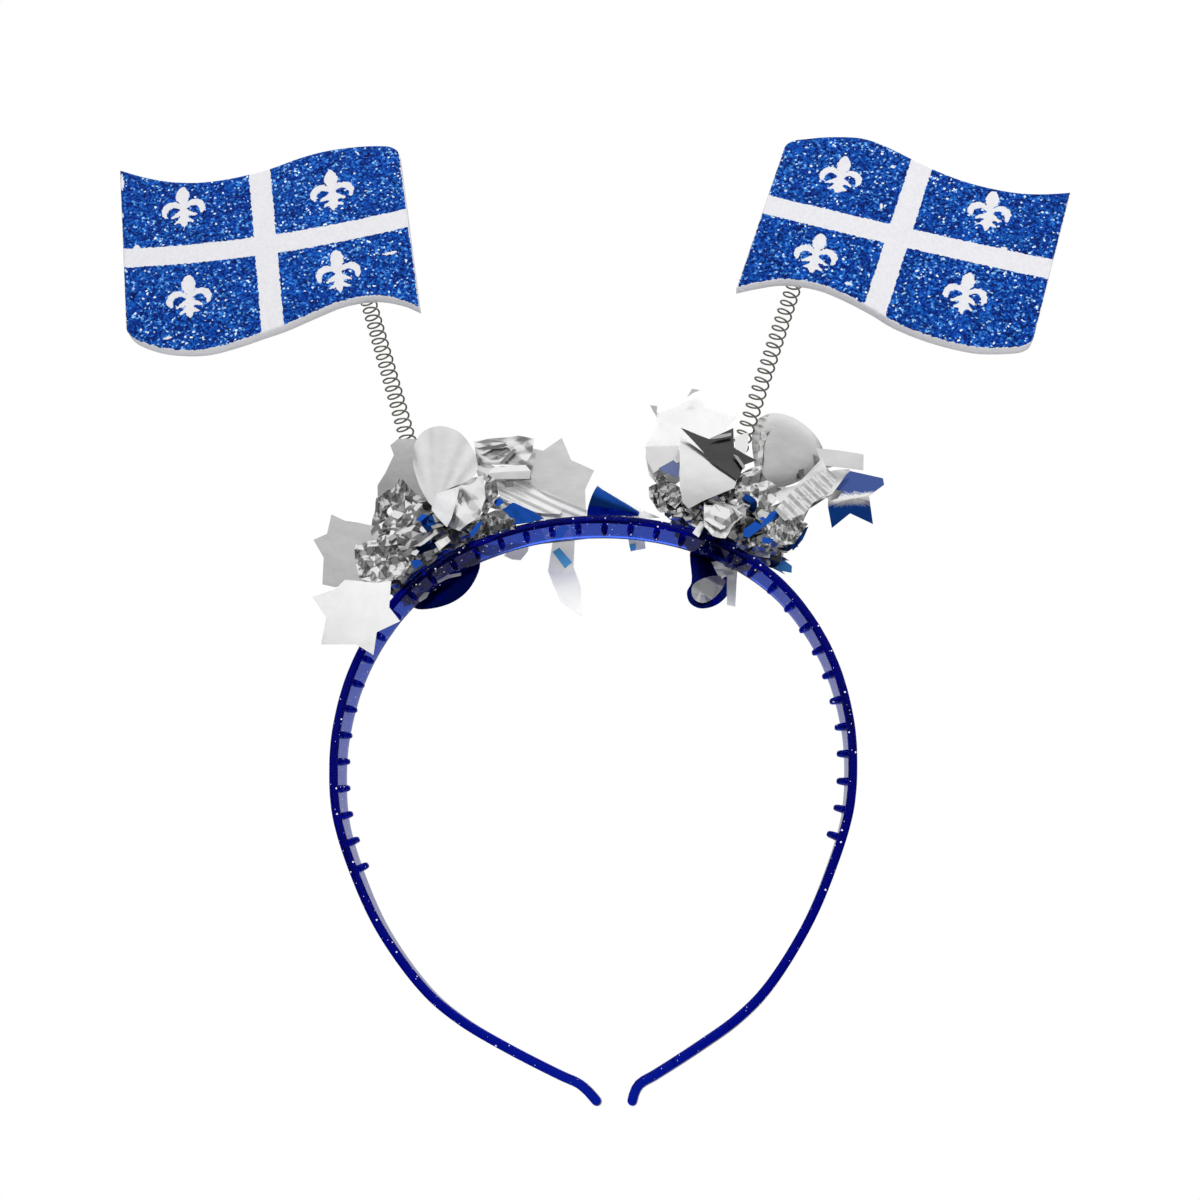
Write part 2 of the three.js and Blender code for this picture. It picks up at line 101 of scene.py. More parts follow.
def rampNode(tree, value, stops):
    # a colour ramp with (place, hex) stops
    node = addNode(tree, "ShaderNodeValToRGB", {0: value})
    ramp = node.color_ramp
    while len(ramp.elements) < len(stops):
        ramp.elements.new(0.5)
    for element, (place, colour) in zip(ramp.elements, stops):
        element.position = place
        element.color = hexColour(colour)
    return node


def noiseNode(tree, where, size, detail=2.0):
    # soft noise with features about size mm across
    return addNode(tree, "ShaderNodeTexNoise", {
        "Vector": (where, "Object"), "Scale": 1 / (size * mm), "Detail": detail})


def cellNode(tree, where, size):
    # Voronoi cells about size mm across
    return addNode(tree, "ShaderNodeTexVoronoi", {"Vector": (where, "Object"), "Scale": 1 / (size * mm)})


def bumpNode(tree, height, strength, distance):
    # distance is in mm
    return addNode(tree, "ShaderNodeBump", {
        "Height": height, "Strength": strength, "Distance": distance * mm})


def newMaterial(name):
    # an empty node material and its tree
    material = bpy.data.materials.new(name)
    material.use_nodes = True
    material.node_tree.nodes.clear()
    return material, material.node_tree


def finishMaterial(tree, inputs, volume=None):
    # a Principled surface with these inputs, and a volume where there is one
    links = {"Surface": (addNode(tree, "ShaderNodeBsdfPrincipled", inputs), 0)}
    if volume:
        links["Volume"] = (volume, 0)
    addNode(tree, "ShaderNodeOutputMaterial", links)


# Mesh helpers

def gridQuads(rows, cols, wrap):
    # quads between neighbouring rows and columns; wrap joins the last column to the first
    r = np.arange(rows - 1)[:, None]
    c = np.arange(cols if wrap else cols - 1)[None, :]
    n = (c + 1) % cols
    corners = (r * cols + c, r * cols + n, (r + 1) * cols + n, (r + 1) * cols + c)
    return np.stack(np.broadcast_arrays(*corners), -1).reshape(-1, 4)


def outwards(points, faces):
    # turns every face round when the volume, the sum of a . (b x c) / 6 over its triangles, is negative
    volume = 0.0
    for block in faces:
        a = points[block[:, 0]]
        for k in range(1, block.shape[1] - 1):
            volume += np.einsum("ij,ij->", a, np.cross(points[block[:, k]], points[block[:, k + 1]]))
    return faces if volume > 0 else [block[:, ::-1] for block in faces]


def sweptBody(rings):
    # rings (rows, cols, 3) skinned into one closed body: a pole at the middle of the first and last ring
    rows, cols = rings.shape[:2]
    points = np.vstack([rings.reshape(-1, 3), rings[0].mean(0), rings[-1].mean(0)])
    c = np.arange(cols)
    n = (c + 1) % cols
    first = np.stack([n, c, np.full(cols, rows * cols)], -1)
    last = (rows - 1) * cols
    end = np.stack([last + c, last + n, np.full(cols, rows * cols + 1)], -1)
    return points, outwards(points, [gridQuads(rows, cols, True), first, end])


def joinBodies(bodies):
    # several (points, faces) bodies as one list of points and faces
    points, faces, start = [], [], 0
    for body in bodies:
        points.append(body[0])
        faces += [block + start for block in body[1]]
        start += len(body[0])
    return np.vstack(points), faces


def makePiece(name, body, material, values=None, smooth=True):
    # writes a body to a mesh in metres, with its named values on points or faces
    points, faces = body
    mesh = bpy.data.meshes.new(name)
    mesh.from_pydata((points * mm).tolist(), [], [face for block in faces for face in block.tolist()])
    mesh.polygons.foreach_set("use_smooth", np.full(len(mesh.polygons), smooth))
    for key, (domain, numbers) in (values or {}).items():
        layer = mesh.attributes.new(key, "FLOAT", domain)
        layer.data.foreach_set("value", np.asarray(numbers, np.float32))
    mesh.materials.append(material)
    mesh.update()
    piece = bpy.data.objects.new(name, mesh)
    bpy.context.scene.collection.objects.link(piece)
    return piece


def smoothCurve(points, power, steps=40):
    # Catmull-Rom through points, the knots spaced by distance ^ power: 0.5 is the centripetal curve
    p = np.asarray(points, float)
    ends = np.vstack([2 * p[0] - p[1], p, 2 * p[-1] - p[-2]])
    gaps = np.linalg.norm(np.diff(ends, axis=0), axis=1) ** power
    d0, d1, d2 = (gaps[k:len(p) - 1 + k, None] for k in range(3))
    x0, x1, x2, x3 = (ends[k:len(p) - 1 + k] for k in range(4))
    t1 = ((x1 - x0) / d0 - (x2 - x0) / (d0 + d1) + (x2 - x1) / d1) * d1
    t2 = ((x2 - x1) / d1 - (x3 - x1) / (d1 + d2) + (x3 - x2) / d2) * d1
    t = np.linspace(0, 1, steps, endpoint=False)[None, :, None]
    x1, x2, t1, t2 = (v[:, None, :] for v in (x1, x2, t1, t2))
    curve = x1 + t1 * t + (3 * (x2 - x1) - 2 * t1 - t2) * t ** 2 + (2 * (x1 - x2) + t1 + t2) * t ** 3
    return np.vstack([curve.reshape(-1, p.shape[1]), p[-1]])


# Stage, lights and camera

studio = {
    "floor": -350, "floorSize": 6000, "lampAim": (0, 0, 20),
    "eye": (22.88, -340.46, -150.56),  # the photo looks up at the band from 21 degrees below
    "azimuth": 3.5, "elevation": -21.0, "lens": 42.136, "sensor": 36.0,
    "sky": "#ffffff", "skyStrength": 1.0,
}


def makeStudio():
    # a pale floor, a white room that gloss sees with grey gaps in it, and three large soft lamps
    scene = bpy.context.scene
    scene.view_settings.view_transform = "Standard"
    material, tree = newMaterial("matt white studio floor")  # matt paint: no gloss of its own
    finishMaterial(tree, {"Base Color": hexColour("#e2e2e2"), "Roughness": 0.9})
    half = studio["floorSize"] / 2
    x = np.linspace(-half, half, 3)
    gx, gy = np.meshgrid(x, x)
    points = np.stack([gx, gy, np.full_like(gx, studio["floor"])], -1).reshape(-1, 3)
    floor = makePiece("studio_floor", (points, [gridQuads(3, 3, False)]), material, smooth=False)
    floor.visible_glossy = False  # gloss and foil show the room's dark lower half instead

    world = bpy.data.worlds.new("white studio")
    world.use_nodes = True
    tree = world.node_tree
    tree.nodes.clear()
    ray = addNode(tree, "ShaderNodeTexCoord")
    # bright soft boxes ahead, above and behind, with a dark gap at each side of them that foil can show
    way = addNode(tree, "ShaderNodeSeparateXYZ", {0: (ray, "Generated")})
    room = rampNode(tree, (mapNode(tree, (way, "Z"), (-1.0, 1.0)), 0), [
        (0.0, "#808080"), (0.45, "#828282"), (0.55, "#b0b0b0"), (0.65, "#cdcdcd"), (0.725, "#e7e7e7"),
        (0.8, "#fafafa"), (0.9, "#ffffff")])
    gaps = rampNode(tree, (mathNode(tree, "ABSOLUTE", (way, "X")), 0), [
        (0.5, "#ffffff"), (0.6, "#606060"), (0.78, "#606060"), (0.9, "#ffffff")])
    shaded = mixNode(tree, 1.0, (room, 0), (gaps, 0), "MULTIPLY")
    lit = addNode(tree, "ShaderNodeBackground", {"Color": (shaded, 2), "Strength": studio["skyStrength"]})
    seen = addNode(tree, "ShaderNodeBackground", {"Color": hexColour(studio["sky"]), "Strength": 1.0})
    path = addNode(tree, "ShaderNodeLightPath")
    # glass shows the white room behind it, so only foil and gloss see the grey parts
    shown = mathNode(tree, "MAXIMUM", (path, "Is Camera Ray"), (path, "Is Transmission Ray"))
    mixed = addNode(tree, "ShaderNodeMixShader", {0: (shown, 0), 1: (lit, 0), 2: (seen, 0)})
    addNode(tree, "ShaderNodeOutputWorld", {"Surface": (mixed, 0)})
    scene.world = world

    for name, place, size, power in (
        ("softbox_key", (-180, -640, 480), 0.5, 3.2),
        ("softbox_fill", (420, -460, 160), 0.4, 1.2),
        ("softbox_top", (60, 350, 560), 0.6, 3.0),
    ):
        light = bpy.data.lights.new(name, "AREA")
        light.size, light.energy = size, power
        lamp = bpy.data.objects.new(name, light)
        lamp.location = np.array(place) * mm
        aim = np.array(studio["lampAim"], float) - place
        lamp.rotation_mode = "QUATERNION"
        lamp.rotation_quaternion = Vector(aim).to_track_quat("-Z", "Y")
        lamp.visible_glossy = False  # the room gives the reflections, the lamps only even light
        scene.collection.objects.link(lamp)


def makeCamera():
    # looks back along the direction that azimuth and elevation give, from the eye
    a, e = math.radians(studio["azimuth"]), math.radians(studio["elevation"])
    back = Vector((math.sin(a) * math.cos(e), -math.cos(a) * math.cos(e), math.sin(e)))
    data = bpy.data.cameras.new("photo camera")
    data.lens, data.sensor_width = studio["lens"], studio["sensor"]
    data.clip_start, data.clip_end = 0.01, 20.0
    camera = bpy.data.objects.new("photo camera", data)
    camera.location = np.array(studio["eye"]) * mm
    camera.rotation_mode = "QUATERNION"
    camera.rotation_quaternion = (-back).to_track_quat("-Z", "Y")
    bpy.context.scene.collection.objects.link(camera)
    bpy.context.scene.camera = camera


makeCamera()
makeStudio()
print("studio made")


# Band: injection-moulded plastic, with its comb teeth in one piece

band = {
    "span": 130, "height": 143.5, "width": 11, "tipWidth": 5.5, "thickness": 2.2, "corner": 0.6,
    "taperStart": 112, "tipLean": 5.4, "tipLeanPower": 8.6,
    "teethLeft": 19, "teethRight": 18, "toothPitch": 7.04, "toothLength": 3.2, "toothFront": 0.8,
    "toothBreadth": 1.8, "toothHeight": 2.6, "toothRound": 3.6,
    "postDiameter": 3.1, "postLength": 9, "postSink": 0.6, "postRound": (0.15, 0.5), "clearance": 0.3,
}
bandShares = [  # (spread, drop) of half the centre line, from the crown to a tip
    (0, 0), (0.188, 0.006), (0.376, 0.026), (0.573, 0.065), (0.751, 0.128), (0.878, 0.208),
    (0.958, 0.293), (0.997, 0.384), (1, 0.454), (0.975, 0.541), (0.892, 0.642), (0.786, 0.734),
    (0.624, 0.83), (0.504, 0.876), (0.354, 0.917), (0.166, 0.962), (0.11, 0.974),
    (0.085, 0.985), (0.064, 1),
]


def bandLine():
    # both halves share one lean: x = hand * spread + lean * drop ^ power, z = t / 2 - drop * height
    spread, drop = np.array(bandShares).T
    halfSpan = (band["span"] - band["thickness"]) / 2
    lean = band["tipLean"] * drop ** band["tipLeanPower"]
    z = band["thickness"] / 2 - drop * band["height"]
    left = np.stack([-spread * halfSpan + lean, z], -1)[:0:-1]
    right = np.stack([spread * halfSpan + lean, z], -1)
    return smoothCurve(np.vstack([left, right]), 0.5)


linePoints = bandLine()
lineArcs = np.concatenate([[0], np.cumsum(np.linalg.norm(np.diff(linePoints, axis=0), axis=1))])
lineArcs -= lineArcs[linePoints[:, 1].argmax()]


def bandAt(arc):
    # centre, direction and outward normal of the band at arc lengths from the crown, in x and z
    centre = np.stack([np.interp(arc, lineArcs, linePoints[:, k]) for k in (0, 1)], -1)
    slope = np.gradient(linePoints, lineArcs, axis=0)
    along = np.stack([np.interp(arc, lineArcs, slope[:, k]) for k in (0, 1)], -1)
    along /= np.linalg.norm(along, axis=-1, keepdims=True)
    return centre, along, np.stack([-along[..., 1], along[..., 0]], -1)


def widthAt(arc):
    # full width up to taperStart from the crown, then an even taper to tipWidth at the nearer tip
    reach = min(-lineArcs[0], lineArcs[-1])
    share = np.clip((np.abs(arc) - band["taperStart"]) / (reach - band["taperStart"]), 0, 1)
    return band["width"] + (band["tipWidth"] - band["width"]) * share


def toothRise(arc, y):
    # height of the comb teeth: H (1 - d^p)^(1/p), with d the distance from the middle of the nearest tooth
    # as a share of its oval's radius
    number = np.clip(np.floor(arc / band["toothPitch"]), -band["teethLeft"], band["teethRight"] - 1)
    aside = arc - (number + 0.5) * band["toothPitch"]
    half = band["toothBreadth"] / 2
    middle = band["toothFront"] + (band["toothLength"] - band["width"]) / 2
    d = np.clip(np.hypot((y - middle) / band["toothLength"] * 2, aside / half), 0, 1)
    return band["toothHeight"] * (1 - d ** band["toothRound"]) ** (1 / band["toothRound"])


def bandSurface():
    # a rounded rectangle carried along the centre line, its inner face raised by toothRise
    # steps along the band from a tooth's middle to its neighbour's, as shares of half its breadth
    near = np.array([0, 0.22, 0.42, 0.6, 0.74, 0.85, 0.93, 0.98, 1.0, 1.05, 2.3])
    offsets = np.concatenate([-near[:0:-1], near]) * band["toothBreadth"] / 2
    numbers = np.arange(-band["teethLeft"], band["teethRight"])
    toothArcs = ((numbers + 0.5)[:, None] * band["toothPitch"] + offsets).ravel()
    legs = [np.linspace(lineArcs[0], toothArcs[0] - 1, 60), np.linspace(toothArcs[-1] + 1, lineArcs[-1], 60)]
    arcs = np.concatenate([legs[0], toothArcs, legs[1]])
    width, depth = widthAt(arcs), np.full(len(arcs), float(band["thickness"]))
    angles = np.radians([25, 50, 70, 82])  # quarter-round tips
    run, shrink = depth[0] / 2 * np.sin(angles), depth[0] / 2 * (1 - np.cos(angles))
    arcs = np.concatenate([arcs[0] - run[::-1], arcs, arcs[-1] + run])
    width = np.concatenate([width[0] - 2 * shrink[::-1], width, width[-1] - 2 * shrink])
    depth = np.concatenate([depth[0] - 2 * shrink[::-1], depth, depth[-1] - 2 * shrink])

    inside = np.clip(arcs, lineArcs[0], lineArcs[-1])
    centre, along, normal = bandAt(inside)
    centre = centre + along * (arcs - inside)[:, None]
    corner = np.minimum(band["corner"], depth * 0.35)[:, None]
    flat = width[:, None] / 2 - corner
    # steps across the inner face, as shares of its flat half, closer where the teeth begin and end
    inner = np.array([-1, -0.98, -0.955, -0.935, -0.9, -0.84, -0.77, -0.7, -0.633, -0.56, -0.49, -0.42, -0.36,
                      -0.33, -0.31, -0.28, -0.1, 0.2, 0.6, 1.0])
    quarter = np.radians([22.5, 45, 67.5])
    y = [flat * inner, flat + corner * np.sin(quarter), flat + corner, flat + corner,
         flat + corner * np.cos(quarter), flat * np.array([1, 0.5, 0, -0.5, -1]),
         -flat - corner * np.sin(quarter), -flat - corner, -flat - corner, -flat - corner * np.cos(quarter)]
    side = depth[:, None] / 2
    low, high = corner - side, side - corner
    n = [-side - toothRise(inside[:, None], flat * inner), low - corner * np.cos(quarter), low, high,
         high + corner * np.sin(quarter), side * np.ones(5),
         high + corner * np.cos(quarter), high, low, low - corner * np.sin(quarter)]
    y, n = np.hstack(y), np.hstack(n)
    x = centre[:, :1] + n * normal[:, :1]
    z = centre[:, 1:] + n * normal[:, 1:]
    return sweptBody(np.stack([x, y, z], -1))


sides = {  # footSpread is a share of half the span, springShare of the spring's length, angles in degrees
    "left": {"hand": -1, "footSpread": 0.597, "lean": 16.9, "springShare": 1, "pitchShare": 0.964,
             "droop": 9, "span": 1, "shear": 0},
    "right": {"hand": 1, "footSpread": 0.465, "lean": 18.5, "springShare": 0.957, "pitchShare": 1.036,
              "droop": 16, "span": 0.978, "shear": 0.035},
}
spring = {
    "length": 83.6, "diameter": 4.8, "wire": 0.55, "pitch": 2.75, "closePitch": 1.25, "closeTurns": 3,
    "lift": 1.5, "sidesOfWire": 8, "stepsPerTurn": 28, "bendStart": 24, "bendMiddle": 53, "bendEnd": 82,
}


def springAxis(side):
    # the foot on the band's outer face, the upright direction and the two directions across it
    half = side["footSpread"] * band["span"] / 2
    arcs = side["hand"] * np.arange(0, 80, 0.05)
    centre, _, normal = bandAt(arcs)
    k = np.argmax(np.abs(centre[:, 0]) >= half)
    foot = centre[k] + normal[k] * band["thickness"] / 2
    lean = math.radians(side["lean"])
    up = np.array([side["hand"] * math.sin(lean), 0, math.cos(lean)])
    across = np.array([0.0, 1.0, 0.0])
    foot = np.array([foot[0], 0, foot[1]])
    return {"foot": foot, "up": up, "across": across, "beside": np.cross(up, across)}


axes = {name: springAxis(side) for name, side in sides.items()}


def postBody(axis):
    # a short rod under each spring: a circle swept up, its top edge rounded off in two steps
    angles = np.linspace(0, 2 * np.pi, 24, endpoint=False)
    top, (near, far) = band["postLength"], band["postRound"]
    rise = np.array([-band["postSink"], 0, top - far, top - near, top])
    radius = band["postDiameter"] / 2 - np.array([0, 0, 0, near, far])
    ring = np.cos(angles)[:, None] * axis["beside"] + np.sin(angles)[:, None] * axis["across"]
    return sweptBody(axis["foot"] + rise[:, None, None] * axis["up"] + radius[:, None, None] * ring)


def glitterPlastic():
    # clear-blue polystyrene, injection moulded with silver flakes: the wall swallows light, so 2 mm looks
    # mid blue and the 11 mm edge nearly navy, with a glossy skin and bright points where flakes lie near it
    material, tree = newMaterial("moulded blue polystyrene with glitter")
    where = addNode(tree, "ShaderNodeTexCoord")
    flakes = []
    for spacing, radius in ((2.3, 0.10), (1.25, 0.075)):  # mm between flakes; share of a cell that one fills
        flakes.append(mathNode(tree, "LESS_THAN", (cellNode(tree, where, spacing), "Distance"), radius))
    flake = mathNode(tree, "MAXIMUM", (flakes[0], 0), (flakes[1], 0))
    clear = mathNode(tree, "SUBTRACT", 1.0, (flake, 0))
    colour = mixNode(tree, (flake, 0), hexColour("#7799cb"), hexColour("#f2f0ff"))
    volume = addNode(tree, "ShaderNodeVolumeAbsorption", {"Color": hexColour("#5d9dee"), "Density": 980.0})
    finishMaterial(tree, {
        "Base Color": (colour, 2), "Transmission Weight": (clear, 0), "Metallic": 0.0,
        "Roughness": 0.08, "IOR": 1.48, "Specular Tint": hexColour("#5868ff"),
    }, volume)
    return material


plastic = glitterPlastic()
headband = makePiece("band_moulding", joinBodies([bandSurface(), *map(postBody, axes.values())]), plastic)
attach(headband, "headband")
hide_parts("headband")
print("band made:", len(headband.data.polygons), "faces")


# Springs: drawn steel wire coiled round each post and into its flag's pad

def springSteel():
    # nickel-plated spring steel, cold drawn: a bright grey metal with faint streaks along the wire
    material, tree = newMaterial("drawn spring steel")
    noise = noiseNode(tree, addNode(tree, "ShaderNodeTexCoord"), 1.4, 3.0)
    colour = rampNode(tree, (noise, "Fac"), [(0.3, "#a3a296"), (0.7, "#d2d1c6")])
    rough = mapNode(tree, (noise, "Fac"), (0.0, 1.0), (0.18, 0.34))
    finishMaterial(tree, {"Base Color": (colour, 0), "Metallic": 1.0, "Roughness": (rough, 0)})
    return material


def coilBody(axis, length, start, end, pitch):
    # a wire round the axis: out = beside cos a + across sin a, rising closePitch a turn at both ends and
    # about pitch a turn between them
    closeRun = spring["closeTurns"] * spring["closePitch"]
    openRun = length - 2 * closeRun
    openTurns = round(openRun / pitch)
    turns = openTurns + 2 * spring["closeTurns"]
    knots = [0, spring["closeTurns"], turns - spring["closeTurns"], turns]
    climbs = [0, closeRun, closeRun + openRun, length]
    turn = np.linspace(0, turns, turns * spring["stepsPerTurn"] + 1)
    rise = spring["lift"] + np.interp(turn, knots, climbs)
    keep = (rise >= start - 0.05) & (rise <= end + 0.05)
    turn, rise = turn[keep], rise[keep]
    angle = 2 * np.pi * turn[:, None]
    out = np.cos(angle) * axis["beside"] + np.sin(angle) * axis["across"]
    centre = axis["foot"] + rise[:, None] * axis["up"] + out * (spring["diameter"] - spring["wire"]) / 2
    around = np.linspace(0, 2 * np.pi, spring["sidesOfWire"], endpoint=False)[None, :, None]
    wire = np.cos(around) * out[:, None] + np.sin(around) * axis["up"]
    return sweptBody(centre[:, None] + wire * spring["wire"] / 2)


steel = springSteel()
pad = {
    "length": 10.5, "width": 10, "depth": 6.6, "chamfer": 2, "blunting": 0.3, "inset": 5.5, "springInset": 2,
    "round": 0.5,
}
for name, axis in axes.items():
    free = sides[name]["springShare"] * spring["length"]
    wireLength = free + pad["inset"] + pad["length"] - pad["springInset"] - spring["lift"]
    reach = [0, spring["bendMiddle"], spring["lift"] + wireLength]
    pitch = sides[name]["pitchShare"] * spring["pitch"]
    for k, part in enumerate(("lower", "upper")):  # the wire is made as two straight halves, split at bendMiddle, each spanning one of the spring's two hinges
        body = coilBody(axis, wireLength, reach[k], reach[k + 1], pitch)
        coil = makePiece(f"spring_{name}_{part}", body, steel)
        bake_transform(coil)
        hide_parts(f"spring_{name}")
print("springs made")


# Flags: die-cut foam sheet printed with glitter, apart from a bare cross and four fleurs

flag = {
    "length": 83.2, "height": 58, "thickness": 3, "back": -2.7, "cornerRound": 3.4, "cornerDepth": 0.8,
    "step": 0.42, "closerSteps": 0.015, "edgeRound": 0.35, "stripeHalf": 3.2,
    "lowGap": 0.35, "topGap": -0.2, "endGap": 0.15,  # how far in from each edge the glitter ends
    "grain": 0.045, "plainRim": 0.5, "grainSeed": 7, "backDepth": -5.0,
}
flagShares = [  # u along the flag, then top and low edges of each flag, as shares of its length and height
    (-0.493, 0.424, -0.547, 0.428, -0.467), (-0.433, 0.452, -0.486, 0.459, -0.421),
    (-0.349, 0.472, -0.44, 0.5, -0.371), (-0.24, 0.479, -0.436, 0.528, -0.357),
    (-0.144, 0.464, -0.471, 0.505, -0.381), (-0.036, 0.429, -0.517, 0.455, -0.429),
    (0.048, 0.414, -0.541, 0.419, -0.476), (0.144, 0.409, -0.567, 0.39, -0.507),
    (0.24, 0.421, -0.579, 0.378, -0.522), (0.337, 0.457, -0.555, 0.381, -0.521),
    (0.421, 0.509, -0.507, 0.403, -0.495), (0.507, 0.578, -0.424, 0.441, -0.453),
]
# In mm, u outwards and v up. A cross is (v inner, v middle, v outer, u of its upright, its lean), a fleur its
# middle, and a worn spot (u, v, half width, half height).
printing = {
    "left": {"cross": (-0.8, -2.0, 1.7, 0.6, 0.0), "fleurSize": 1.22,
             "fleurs": [(23.8, 16.2), (-20.1, 13.3), (23.7, -14.9), (-19.4, -14.9)],
             "worn": [(-34.8, -11.9, 2.3, 0.45), (41.6, 28.6, 0.7, 2.6), (38.2, 4.8, 1.0, 0.7),
                      (41.9, 17.0, 0.5, 1.0), (30.0, -27.5, 1.2, 0.4)]},
    "right": {"cross": (2.0, 0.0, -1.0, -1.3, 0.054), "fleurSize": 1.14,
              "fleurs": [(-21.2, 16.5), (21.6, 14.3), (-22.2, -10.9), (20.1, -13.8)],
              "worn": [(-7.5, 22.6, 0.8, 0.5), (-11.5, -18.6, 0.9, 0.6), (27.7, 2.6, 1.0, 0.6),
                       (-8.0, 8.5, 0.4, 0.8)]},
}
fleurStrokes = [  # (x, y, radius) beads along each stroke, in mm from the fleur's middle, mirrored in x
    [(0, 5.75, 0.15), (0, 5.0, 0.8), (0, 4.2, 1.35), (0, 3.3, 1.65), (0, 2.5, 1.5), (0, 1.7, 1.05),
     (0, 0.6, 0.5)],
    [(0.5, -0.2, 0.4), (1.2, 0.5, 0.6), (2.1, 1.0, 0.78), (3.05, 1.0, 0.88), (3.95, 0.5, 0.88),
     (4.5, -0.4, 0.8), (4.6, -1.4, 0.62), (4.35, -2.2, 0.35)],
    [(0.3, -1.5, 0.8), (1.5, -2.1, 0.6), (2.8, -2.7, 0.32)],
    [(0, -3.3, 0.9), (1.2, -4.0, 0.5), (2.2, -4.5, 0.25)],
    [(0, 0.4, 0.5), (0, -1.2, 0.95), (0, -2.6, 1.05), (0, -3.9, 1.05), (0, -4.9, 0.75), (0, -5.9, 0.2)],
]


def strokeDistance(x, y, beads):
    # distance to the nearest bead-to-bead stretch less its radius, which runs evenly between the two beads
    best = np.full(x.shape, 1e3)
    for (ax, ay, ar), (bx, by, br) in zip(beads, beads[1:]):
        dx, dy = bx - ax, by - ay
        t = np.clip(((x - ax) * dx + (y - ay) * dy) / (dx * dx + dy * dy), 0, 1)
        best = np.minimum(best, np.hypot(x - ax - t * dx, y - ay - t * dy) - (ar + t * (br - ar)))
    return best


def printDepth(u, v, design, edgeGap):
    # how far a point lies inside the glitter, in mm: the least of its distances to the bare shapes and edges
    inner, centre, outer, upright, lean = design["cross"]
    t = u / flag["length"] * 2
    middle = centre + (outer - inner) / 2 * t + ((outer + inner) / 2 - centre) * t ** 2
    depth = np.minimum(np.abs(u - upright - lean * v), np.abs(v - middle)) - flag["stripeHalf"]
    grow = design["fleurSize"]
    for fu, fv in design["fleurs"]:
        for beads in fleurStrokes:
            depth = np.minimum(depth, grow * strokeDistance(np.abs(u - fu) / grow, (v - fv) / grow, beads))
    for wu, wv, wide, tall in design["worn"]:
        ring = np.hypot((u - wu) / wide, (v - wv) / tall)
        depth = np.minimum(depth, (ring - 1) * min(wide, tall))
    return np.minimum(depth, edgeGap)


def flagEdges(name):
    # top and low edges at even steps along the flag, with the inner top and outer low corners rounded
    rows = np.array(flagShares)
    top, low = (1, 2) if name == "left" else (3, 4)
    side = sides[name]
    edges = []
    for column in (top, low):
        curve = smoothCurve(np.stack([rows[:, 0] * flag["length"], rows[:, column] * flag["height"]], -1), 0)
        u = curve[:, 0] * side["span"] + curve[:, 1] * side["shear"]
        edges.append(np.stack([u, curve[:, 1]], -1))
    count = round(flag["length"] / flag["step"])
    share = np.linspace(0, 1, count)
    share = share - flag["closerSteps"] * np.sin(4 * np.pi * share)  # closer at the ends and the middle
    pick = share * (len(edges[0]) - 1)
    topLine, lowLine = (
        np.stack([np.interp(pick, np.arange(len(edge)), edge[:, k]) for k in (0, 1)], -1) for edge in edges)
    r = flag["cornerRound"]
    for line, corner, way in ((topLine, 0, -1), (lowLine, -1, 1)):
        gone = np.clip(1 - np.abs(line[:, 0] - line[corner, 0]) / r, 0, 1)
        line[:, 1] += way * r * (1 - np.sqrt(1 - gone ** 2)) * flag["cornerDepth"]
    return topLine, lowLine


def flagBody(name):
    # front and back are one grid between the edges, joined by a rim; the front's rim is rounded off
    topLine, lowLine = flagEdges(name)
    rows = round(flag["height"] / flag["step"])
    share = np.linspace(0, 1, rows)[:, None, None]
    flat = lowLine + (topLine - lowLine) * share
    u, v = flat[..., 0], flat[..., 1]
    toLow = share[..., 0] * np.linalg.norm(topLine - lowLine, axis=-1)
    toTop = (1 - share[..., 0]) * np.linalg.norm(topLine - lowLine, axis=-1)
    toEnds = np.minimum(u - u[:, :1], u[:, -1:] - u)
    edge = np.minimum(np.minimum(toLow, toTop), toEnds)
    gap = np.minimum(np.minimum(toLow - flag["lowGap"], toTop - flag["topGap"]), toEnds - flag["endGap"])
    depth = printDepth(u, v, printing[name], gap)
    dip = flag["edgeRound"] * np.clip(1 - edge / flag["edgeRound"], 0, 1) ** 2
    grain = np.random.default_rng(flag["grainSeed"]).normal(0, flag["grain"], u.shape) * (depth > 0)
    front = flag["back"] - flag["thickness"] + dip + np.where(edge > flag["plainRim"], grain, 0)
    back = np.full_like(front, flag["back"])
    side = sides[name]
    droop = math.radians(side["droop"])
    x = side["hand"] * (u * math.cos(droop) + v * math.sin(droop))
    z = v * math.cos(droop) - u * math.sin(droop)
    low, high = (np.array(corner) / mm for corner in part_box(f"flag_{name}"))
    x += (low[0] + high[0]) / 2 - (x.min() + x.max()) / 2  # the outline is set on its node's box
    z += (low[2] + high[2]) / 2 - (z.min() + z.max()) / 2
    cols = u.shape[1]
    points = np.vstack([np.stack([x, y, z], -1).reshape(-1, 3) for y in (front, back)])
    quads = gridQuads(rows, cols, False)
    grid = np.arange(rows * cols).reshape(rows, cols)
    rim = np.concatenate([grid[0], grid[1:, -1], grid[-1, -2::-1], grid[-2:0:-1, 0]])
    after = np.roll(rim, -1)
    walls = np.stack([after, rim, rim + rows * cols, after + rows * cols], -1)
    faces = outwards(points, [quads, quads[:, ::-1] + rows * cols, walls])
    return (points, faces), np.concatenate([depth.ravel(), np.full(rows * cols, flag["backDepth"])])


